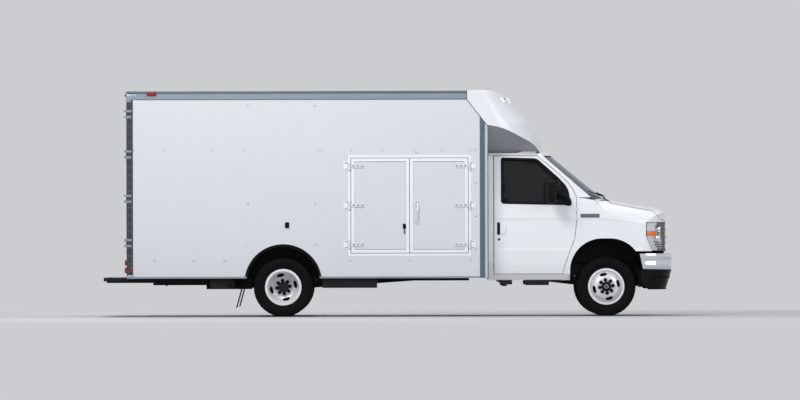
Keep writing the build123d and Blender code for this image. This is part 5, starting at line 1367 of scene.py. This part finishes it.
def cargo_inside():
    """Board joints, rub strips, roof bows with posts, and a dome lamp."""
    floor, strips, bows = Piece(), Piece(), Piece()
    for y in places(-1.05, 1.06, 0.15):
        floor.block((BOX_REAR + 0.082, BOX_FRONT - 0.045), (y - 0.0015, y + 0.0015),
                    (FLOOR_TOP - 0.002, FLOOR_TOP + 0.0008))
    for side in (1, -1):
        for z in (1.15, 1.55, 2.05):
            # Beside the doorway the low strips end at its frame
            end = ahead(-3195) if side < 0 and z < 2.0 else BOX_FRONT - 0.06
            strips.block((BOX_REAR + 0.10, end), (WALL_IN + 0.001, WALL_IN - 0.018), (z, z + 0.09), 0.004,
                         side)
    for x in places(BOX_REAR + 0.35, FRONT_X - CAP_REAR - 0.05, 0.41):
        bows.block((x - 0.02, x + 0.02), (-1.165, 1.165), (BOX_TOP - 0.068, BOX_TOP - 0.037), 0.004)
    for side in (1, -1):
        for x in places(BOX_REAR + 0.35, FRONT_X - 1.75, 0.41):
            over_door = side < 0 and ahead(-3210) < x < ahead(-1680)
            foot = 2.02 if over_door else (0.83 if abs(x - REAR_X) > 0.49 else 0.90)
            bows.block((x - 0.016, x + 0.016), (WALL_IN + 0.001, WALL_IN - 0.014), (foot, BOX_TOP - 0.060),
                       side=side)
    floor.done("floor_joints", BLACK, smooth=0)
    strips.done("rub_strips", WOOD, smooth=30)
    bows.done("bows_and_posts", ALU, smooth=30)
    p = Piece().block((-0.6, -0.4), (-0.10, 0.10), (BOX_TOP - 0.062, BOX_TOP - 0.0375), 0.01)
    p.done("dome_lamp", LAMP_WHITE, smooth=30)


rail_covers()
small_lamps()
rear_doors()
side_door_seals()
rear_step()
cargo_inside()


# Seats

SEAT_Y = 0.480
CUSHION_LOW, CUSHION_TOP = 0.9303, 1.060
SEAT_SWELL = 0.022
CLOTH_FRAMES = 20
# Height, rear and front ahead of the axle, and half width
CUSHION_ROWS = ((CUSHION_LOW + 0.001, -1.288, -0.806, 0.222), (0.990, -1.282, -0.803, 0.220),
                (CUSHION_TOP - 0.022, -1.278, -0.812, 0.214))
BACK_ROWS = ((1.072, -1.280, -1.206, 0.216), (1.210, -1.303, -1.215, 0.220), (1.360, -1.326, -1.230, 0.216),
             (1.490, -1.348, -1.244, 0.196))
HEAD_ROWS = ((1.522, -1.338, -1.256, 0.125), (1.600, -1.324, -1.260, 0.130), (1.666, -1.314, -1.266, 0.118))
BELT = ((-1.395, 0.800, 1.800), (-1.385, 0.775, 1.500), (-1.365, 0.758, 1.150), (-1.355, 0.752, 0.850),
        (-1.355, 0.752, 0.740))


def pad_from(rows):
    """Closed block through rows of (height, rear, front, half width)."""
    bm = bmesh.new()
    made = []
    for z, rear, front, reach in rows:
        made.append([bm.verts.new((FRONT_X + x, y, z))
                     for x, y in ((rear, -reach), (front, -reach), (front, reach), (rear, reach))])
    for low, high in zip(made, made[1:]):
        for k in range(4):
            bm.faces.new((low[k], low[(k + 1) % 4], high[(k + 1) % 4], high[k]))
    bm.faces.new(made[0][::-1])
    bm.faces.new(made[-1])
    return bm


def evaluated(obj):
    """Replaces an object's mesh by what its modifiers make of it."""
    graph = bpy.context.evaluated_depsgraph_get()
    mesh = bpy.data.meshes.new_from_object(obj.evaluated_get(graph))
    obj.modifiers.clear()
    obj.data = mesh
    return mesh


def swollen(name, pads, floor_z):
    """Pads filled like cushions: remeshed, blown up as cloth, and held within a small swell."""
    mesh = bpy.data.meshes.new(name)
    whole = bmesh.new()
    for bm in pads:
        part = bpy.data.meshes.new("pad")
        bm.to_mesh(part)
        bm.free()
        whole.from_mesh(part)
        bpy.data.meshes.remove(part)
    bmesh.ops.recalc_face_normals(whole, faces=whole.faces)
    bmesh.ops.bevel(whole, geom=whole.edges[:], offset=0.022, segments=3, affect="EDGES", profile=0.5)
    whole.to_mesh(mesh)
    whole.free()
    obj = put_in_scene(name, mesh)
    remesh = obj.modifiers.new("remesh", "REMESH")
    remesh.mode = "VOXEL"
    remesh.voxel_size = 0.009
    mesh = evaluated(obj)
    rest = [v.co.copy() for v in mesh.vertices]
    cloth = obj.modifiers.new("cloth", "CLOTH")
    cloth.settings.quality = 4
    cloth.settings.mass = 0.3
    cloth.settings.use_pressure = True
    cloth.settings.uniform_pressure_force = 4.0
    cloth.settings.effector_weights.gravity = 0.0
    cloth.point_cache.frame_start = 1
    cloth.point_cache.frame_end = CLOTH_FRAMES
    for frame_number in range(1, CLOTH_FRAMES + 1):
        bpy.context.scene.frame_set(frame_number)
    mesh = evaluated(obj)
    bpy.context.scene.frame_set(1)
    for v, start in zip(mesh.vertices, rest):
        move = v.co - start
        if move.length > SEAT_SWELL:
            move *= SEAT_SWELL / move.length
        v.co = start + move
        v.co.z = max(v.co.z, floor_z)
    fine = obj.modifiers.new("fine", "SUBSURF")
    fine.levels = fine.render_levels = 1
    mesh = evaluated(obj)
    return obj, mesh


def sew(mesh, lines, depth=0.007, width=0.007):
    """Presses sewn channels in: each line gives an axis, a place and the limits of another axis."""
    for v, n in [(v, v.normal.copy()) for v in mesh.vertices]:
        for axis, place, other, low, high in lines:
            if low <= v.co[other] <= high:
                off = (v.co[axis] - place) / width
                if abs(off) < 3:
                    v.co -= n * depth * math.exp(-off * off)


def seats():
    base, base_mesh = swollen("seat_cushion_left", [pad_from(CUSHION_ROWS)], CUSHION_LOW)
    back, back_mesh = swollen("seat_back_left", [pad_from(BACK_ROWS), pad_from(HEAD_ROWS)],
                              CUSHION_TOP + 0.0015)
    sew(base_mesh, [(1, y, 0, FRONT_X - 1.25, FRONT_X - 0.80) for y in (-0.150, 0.150)]
        + [(0, FRONT_X + x, 1, -0.15, 0.15) for x in (-0.880, -1.010, -1.140)])
    sew(back_mesh, [(1, y, 2, 1.07, 1.48) for y in (-0.135, 0.135)] + [(2, z, 1, -0.135,
                                                                        0.135) for z in (1.20, 1.33)])
    for obj, mesh, part in ((base, base_mesh, "seat_cushion_"), (back, back_mesh, "seat_back_")):
        mesh.materials.clear()
        mesh.materials.append(LOOKS[CLOTH])
        mesh.materials.append(LOOKS[SEAT_BAND])
        for poly in mesh.polygons:
            poly.use_smooth = True
            poly.material_index = 1 if abs(poly.center.y) < 0.135 and poly.center.z < 1.50 else 0
        twin = put_in_scene(part + "right", mesh.copy())
        for held, y in ((obj, SEAT_Y), (twin, -SEAT_Y)):
            for v in held.data.vertices:
                v.co.y += y
            held.data.update()
            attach(held, "chassis")
            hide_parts("seat_cushions")
    metal, belts = Piece(), Piece()
    for y in (-SEAT_Y, SEAT_Y):
        for dy in (-0.055, 0.055):
            metal.bar((FRONT_X - 1.298, y + dy, CUSHION_TOP + 0.415),
                      (FRONT_X - 1.296, y + dy, CUSHION_TOP + 0.480),
                      0.007, sides=14)
        metal.blocks([((-1.27, -0.82), (y + dy - 0.014, y + dy + 0.014), (0.726, 0.742),
                       0.004) for dy in (-0.19, 0.19)])
        metal.bar((FRONT_X - 0.806, y - 0.10, 0.905), (FRONT_X - 0.806, y + 0.10, 0.905), 0.007, sides=12)
    # Belts hang from the pillars beside the seats
    for side in (1, -1):
        for ends in zip(BELT, BELT[1:]):
            belts.grid([[(FRONT_X + x + reach, side * y, z) for reach in (-0.023, 0.023)] for x, y,
                        z in ends])
    metal.done("seat_metal", SILVER)
    belts.done("belt_straps", TRIM, slot="seat_cloth", smooth=60, thick=0.0015)


# Cab inside: limits ahead of the front axle, across and up, bevel and segments

STEER_Y = 0.430
STEER_HUB = Vector((FRONT_X - 0.610, STEER_Y, 1.330))
VENT_Y = (-0.80, -0.24, 0.14, 0.82)
DASH_PODS = (
    ((-0.500, -0.350), (STEER_Y - 0.20, STEER_Y + 0.20), (1.335, 1.425), 0.022, 4),
    *(((-0.490, -0.465), (y - 0.055, y + 0.055), (1.262, 1.318), 0.006) for y in VENT_Y),
    ((-0.494, -0.470), (-0.13, 0.07), (1.135, 1.250), 0.006),
    ((-0.489, -0.470), (-0.74, -0.36), (1.190, 1.300), 0.008),
)
DASH_FACES = (
    ((-0.5025, -0.4985), (STEER_Y - 0.165, STEER_Y + 0.165), (1.350, 1.408), 0.001),
    ((-0.4965, -0.4930), (-0.115, 0.055), (1.185, 1.240), 0.001),
    *(((-0.4925, -0.4890), (y - 0.047, y + 0.047), (1.270 + 0.009 * k, 1.2735 + 0.009 * k))
      for y in VENT_Y for k in range(5)),
)
FLOOR_MAT = (((-1.400, -0.4895), (0.302, 0.735), (0.7195, 0.7265), 0.002),
             ((-0.503, -0.4895), (0.302, 0.735), (0.722, 1.080), 0.004))
DOOR_INNER = (
    ((-1.345, -0.505), (0.799, 0.803), (0.600, 1.360), 0.001, 3),
    ((-1.160, -0.720), (0.756, 0.803), (1.120, 1.165), 0.012, 3),
    ((-1.180, -0.600), (0.773, 0.803), (0.640, 0.760), 0.012, 3),
    ((-0.760, -0.700), (0.771, 0.803), (1.165, 1.250), 0.012, 3),
)


def cab_inside():
    turn = Vector((-0.85, 0, 0.53)).to_track_quat("Z", "Y").to_matrix()
    axis = turn @ Vector((0, 0, -1))
    p = Piece().box(STEER_HUB - Vector((0.060, 0.075, 0.018)), STEER_HUB + Vector((0.060, 0.075, 0.026)),
                    0.016, 3, turn)
    for t in (0, math.pi):
        p.tube([STEER_HUB + turn @ Vector((0.165 * math.sin(a), 0.165 * math.cos(a), 0.001))
                for a in (t + math.pi / 2 * k for k in (0.25, 0.0, -0.25))], 0.017, sides=12)
    p.done("steering_pad", TRIM)
    p = Piece().bar(STEER_HUB + axis * 0.045, STEER_HUB + axis * 0.21, 0.045, 0.052, sides=24)
    for side in (1, -1):
        start = STEER_HUB + axis * 0.075 + Vector((0, side * 0.040, 0))
        p.tube([start, start + Vector((-0.01, side * 0.075, 0.01)),
                start + Vector((-0.02, side * 0.135, 0.020))], 0.006)
    p.done("column_shroud", TRIM)
    Piece().blocks(DASH_PODS).done("dash_pods", TRIM)
    Piece().blocks(DASH_FACES).done("dash_faces", DISPLAY, smooth=30)
    p = Piece()
    for y, wide in ((0.36, 0.055), (0.50, 0.035)):
        p.box((FRONT_X - 0.575, y - wide, 0.800), (FRONT_X - 0.555, y + wide, 0.880), 0.005,
              turn=Matrix.Rotation(-0.5, 3, "Y"))
        p.tube([(FRONT_X - 0.560, y, 0.850), (FRONT_X - 0.535, y, 0.960), (FRONT_X - 0.503, y, 1.050)], 0.008,
               sides=8)
    p.done("pedals", PLASTIC)
    p = Piece().blocks((
        ((-0.985, -0.835), (0.23, 0.61), (1.905, 1.925), 0.009, 3),
        ((-0.985, -0.835), (-0.61, -0.23), (1.905, 1.925), 0.009, 3),
        ((-0.760, -0.735), (-0.125, 0.125), (1.800, 1.862), 0.010, 3),
    ))
    p.tube([(FRONT_X - 0.745, 0, 1.855), (FRONT_X - 0.730, 0, 1.900), (FRONT_X - 0.725, 0, 1.925)], 0.007,
           sides=8)
    p.done("visors_and_mirror", TRIM)
    p = Piece().blocks(FLOOR_MAT, 1).blocks(FLOOR_MAT, -1)
    p.blocks((((-1.400, -0.780), (-0.302, 0.302), (0.7195, 0.7265), 0.002),))
    p.done("floor_mats", FLAP, slot="floor_wood", smooth=30)
    for name, side in SIDES:
        p = Piece().blocks(DOOR_INNER, side)
        p.lathe([(0.0, 0.085), (0.006, 0.083), (0.008, 0.074), (0.008, 0.0001)],
                (FRONT_X - 0.640, side * 0.8015, 0.870),
                (0, -side, 0), 36)
        p.done("door_inner_" + name, TRIM, "cab_door_" + name)


# Engine bay and underbody

def engine_bay():
    p = Piece().blocks((((0.585, 0.635), (-0.410, 0.410), (0.620, 1.060), 0.006),))
    for y in places(-0.39, 0.39, 0.018):
        p.block((ahead(635), ahead(639)), (y, y + 0.006), (0.650, 1.030))
    p.done("radiator", CAST, smooth=30)
    p = Piece()
    for path, radius, sides in (
        (((190, 0.17, 0.98), (330, 0.20, 1.06), (470, 0.24, 1.045), (588, 0.28, 1.000)), 0.021, 16),
        (((190, -0.17, 0.62), (360, -0.22, 0.60), (588, -0.28, 0.680)), 0.021, 16),
        (((120, -0.10, 1.130), (240, -0.30, 1.140), (380, -0.44, 1.120), (470, -0.46, 1.080)), 0.036, 18),
    ):
        p.tube([(ahead(x), y, z) for x, y, z in path], radius, sides)
    p.blocks((((-0.060, 0.150), (-0.17, 0.17), (1.079, 1.165), 0.025, 4),))
    p.done("bay_hoses", PLASTIC, smooth=45)
    p = Piece().blocks((((0.180, 0.430), (0.54, 0.72), (0.995, 1.155), 0.008),))
    for y in (0.575, 0.685):
        p.bar((ahead(215), y, 1.150), (ahead(215), y, 1.172), 0.009)
    p.done("battery", PLASTIC)
    p = Piece().blocks((((0.200, 0.360), (-0.72, -0.56), (0.995, 1.130), 0.016, 3),))
    p.bar((ahead(280), -0.64, 1.128), (ahead(280), -0.64, 1.150), 0.026, sides=24)
    p.done("coolant_bottle", LAMP_WHITE, slot="lamp_glass")


def underbody():
    bolts, rubber = Piece(), Piece()
    for side in (1, -1):
        y0, y1 = side * 0.480, side * 0.580
        for x in (REAR_X - 0.075, REAR_X + 0.075):
            bolts.tube([(x, y0, 0.285), (x, y0, 0.500), (x, (y0 + y1) / 2, 0.512), (x, y1, 0.500),
                        (x, y1, 0.285)], 0.0075)
        bolts.block((REAR_X - 0.095, REAR_X + 0.095), (0.465, 0.595), (0.283, 0.295), 0.003, side)
        for (x0, low_y, z0), (x1, high_y, z1), radius in (
            ((-0.14, 0.655, 0.320), (-0.26, 0.500, 0.560), 0.026),
            ((-0.20, 0.578, 0.440), (-0.27, 0.488, 0.580), 0.033),
        ):
            rubber.bar((REAR_X + x0, side * low_y, z0), (REAR_X + x1, side * high_y, z1), radius, sides=20)
    for x in (-2.80, -2.22):
        strap = ((-0.3725, 0.665), (-0.3725, 0.3875), (0.3725, 0.3875), (0.3725, 0.665))
        bolts.tube([(x, y, z) for y, z in strap], 0.010, sides=8, flat=0.35)
    rubber.tube([(2.35, 0.392, 0.662), (1.0, 0.392, 0.662), (-0.60, 0.392, 0.662), (-1.10, 0.392, 0.655),
                 (-1.28, 0.20, 0.520), (-1.32, 0.05, 0.480)], 0.005, sides=8)
    bolts.done("u_bolts", BLACK)
    rubber.done("shocks_and_lines", BLACK)
    # Battery box: lid edge and two hasps on its outer face
    p = Piece().block((-0.838, -0.153), (-1.172, -1.168), (0.616, 0.628), 0.001)
    for x in (-0.66, -0.33):
        p.block((x - 0.022, x + 0.022), (-1.172, -1.167), (0.570, 0.650), 0.004)
    p.done("battery_box_trim", BLACK)


seats()
cab_inside()
engine_bay()
underbody()


# Stage, light and camera

BACKDROP = (0.60, 0.615, 0.63, 1)
FLOOR_HALF = 60.0


def stage():
    """A pale floor that fades into the backdrop's own tone far from the truck."""
    mesh = bpy.data.meshes.new("floor")
    corners = ((-1, -1), (1, -1), (1, 1), (-1, 1))
    mesh.from_pydata([(x * FLOOR_HALF, y * FLOOR_HALF, 0) for x, y in corners], [], [(0, 1, 2, 3)])
    floor = put_in_scene("floor", mesh)
    m = bpy.data.materials.new("floor_pale")
    m.use_nodes = True
    tree = m.node_tree
    shader = tree.nodes["Principled BSDF"]
    noise = node_of(tree, "TexNoise", Scale=1.5, Detail=4.0).outputs["Fac"]
    tone = colour_mix(tree, noise, (0.50, 0.50, 0.505, 1), (0.54, 0.54, 0.545, 1))
    tree.links.new(tone, shader.inputs["Base Color"])
    shader.inputs["Roughness"].default_value = 0.8
    where = node_of(tree, "TexCoord").outputs["Object"]
    squeeze = node_of(tree, "Mapping", Vector=where, Scale=(0.6, 1.0, 0.0)).outputs["Vector"]
    far = node_of(tree, "VectorMath", squeeze, settings={"operation": "LENGTH"}).outputs["Value"]
    fade = node_of(tree, "MapRange", settings={"interpolation_type": "SMOOTHSTEP"}, Value=far, From_Min=3.0,
                   From_Max=9.0)
    glow = node_of(tree, "Emission", Color=BACKDROP).outputs["Emission"]
    blend = node_of(tree, "MixShader", fade.outputs["Result"], shader.outputs["BSDF"], glow)
    tree.links.new(blend.outputs["Shader"], tree.nodes["Material Output"].inputs["Surface"])
    mesh.materials.append(m)


def lamp(name, place, target, size, power, colour=(1, 1, 1)):
    data = bpy.data.lights.new(name, "AREA")
    data.shape = "RECTANGLE"
    data.size, data.size_y = size
    data.energy = power
    data.color = colour
    obj = put_in_scene(name, data)
    obj.location = place
    obj.rotation_euler = (Vector(target) - Vector(place)).to_track_quat("-Z", "Y").to_euler()


def sky():
    """Bluish light from all round, but the backdrop's own tone to the eye, in gloss and through glass."""
    world = bpy.data.worlds.new("studio")
    bpy.context.scene.world = world
    world.use_nodes = True
    tree = world.node_tree
    light = tree.nodes["Background"]
    light.inputs["Color"].default_value = (0.80, 0.86, 0.95, 1)
    light.inputs["Strength"].default_value = 0.48
    seen = node_of(tree, "Background", Color=BACKDROP, Strength=1.0).outputs["Background"]
    ray = node_of(tree, "LightPath").outputs
    add = {"operation": "ADD"}
    by_eye = node_of(tree, "Math", ray["Is Camera Ray"], ray["Is Glossy Ray"], settings=add).outputs["Value"]
    at_all = node_of(tree, "Math", by_eye, ray["Is Transmission Ray"], settings={**add, "use_clamp": True})
    mix = node_of(tree, "MixShader", at_all.outputs["Value"], light.outputs["Background"], seen)
    tree.links.new(mix.outputs["Shader"], tree.nodes["World Output"].inputs["Surface"])


stage()
lamp("key", (-4.0, -9.0, 8.5), (0, 0, 1.2), (5, 3.5), 760, (1.0, 0.99, 0.97))
lamp("fill", (7.0, -8.0, 4.0), (1, 0, 1.2), (6, 4), 200, (0.95, 0.97, 1.0))
lamp("top", (0.5, 1.0, 9.0), (0.2, 0, 1.0), (9, 5), 270)
lamp("back", (-3.0, 9.0, 6.0), (0, 0, 1.2), (7, 4), 340)
sky()

SENSOR = 36.0
# The cab's side stands a metre nearer than the truck's middle
SIDE_DISTANCE = EYE_DISTANCE - 1.0
CAMERA_ROLL = math.radians(-0.12)
CAMERA_TILT = math.atan((EYE_ROW - PHOTO_SIZE[1] / 2) * CAB_PX / SIDE_DISTANCE)
scene = bpy.context.scene
scene.view_settings.view_transform = "Standard"
lens = bpy.data.cameras.new("camera")
lens.lens = SENSOR / (PHOTO_SIZE[0] * CAB_PX) * SIDE_DISTANCE
lens.sensor_width = SENSOR
lens.clip_start = 1.0
lens.clip_end = 1000.0
camera = put_in_scene("camera", lens)
camera.matrix_world = (
    Matrix.Translation((MIDDLE_X, -EYE_DISTANCE, EYE_Z))
    @ Matrix.Rotation(math.radians(90) + CAMERA_TILT, 4, "X")
    @ Matrix.Rotation(CAMERA_ROLL, 4, "Z")
)
scene.camera = camera
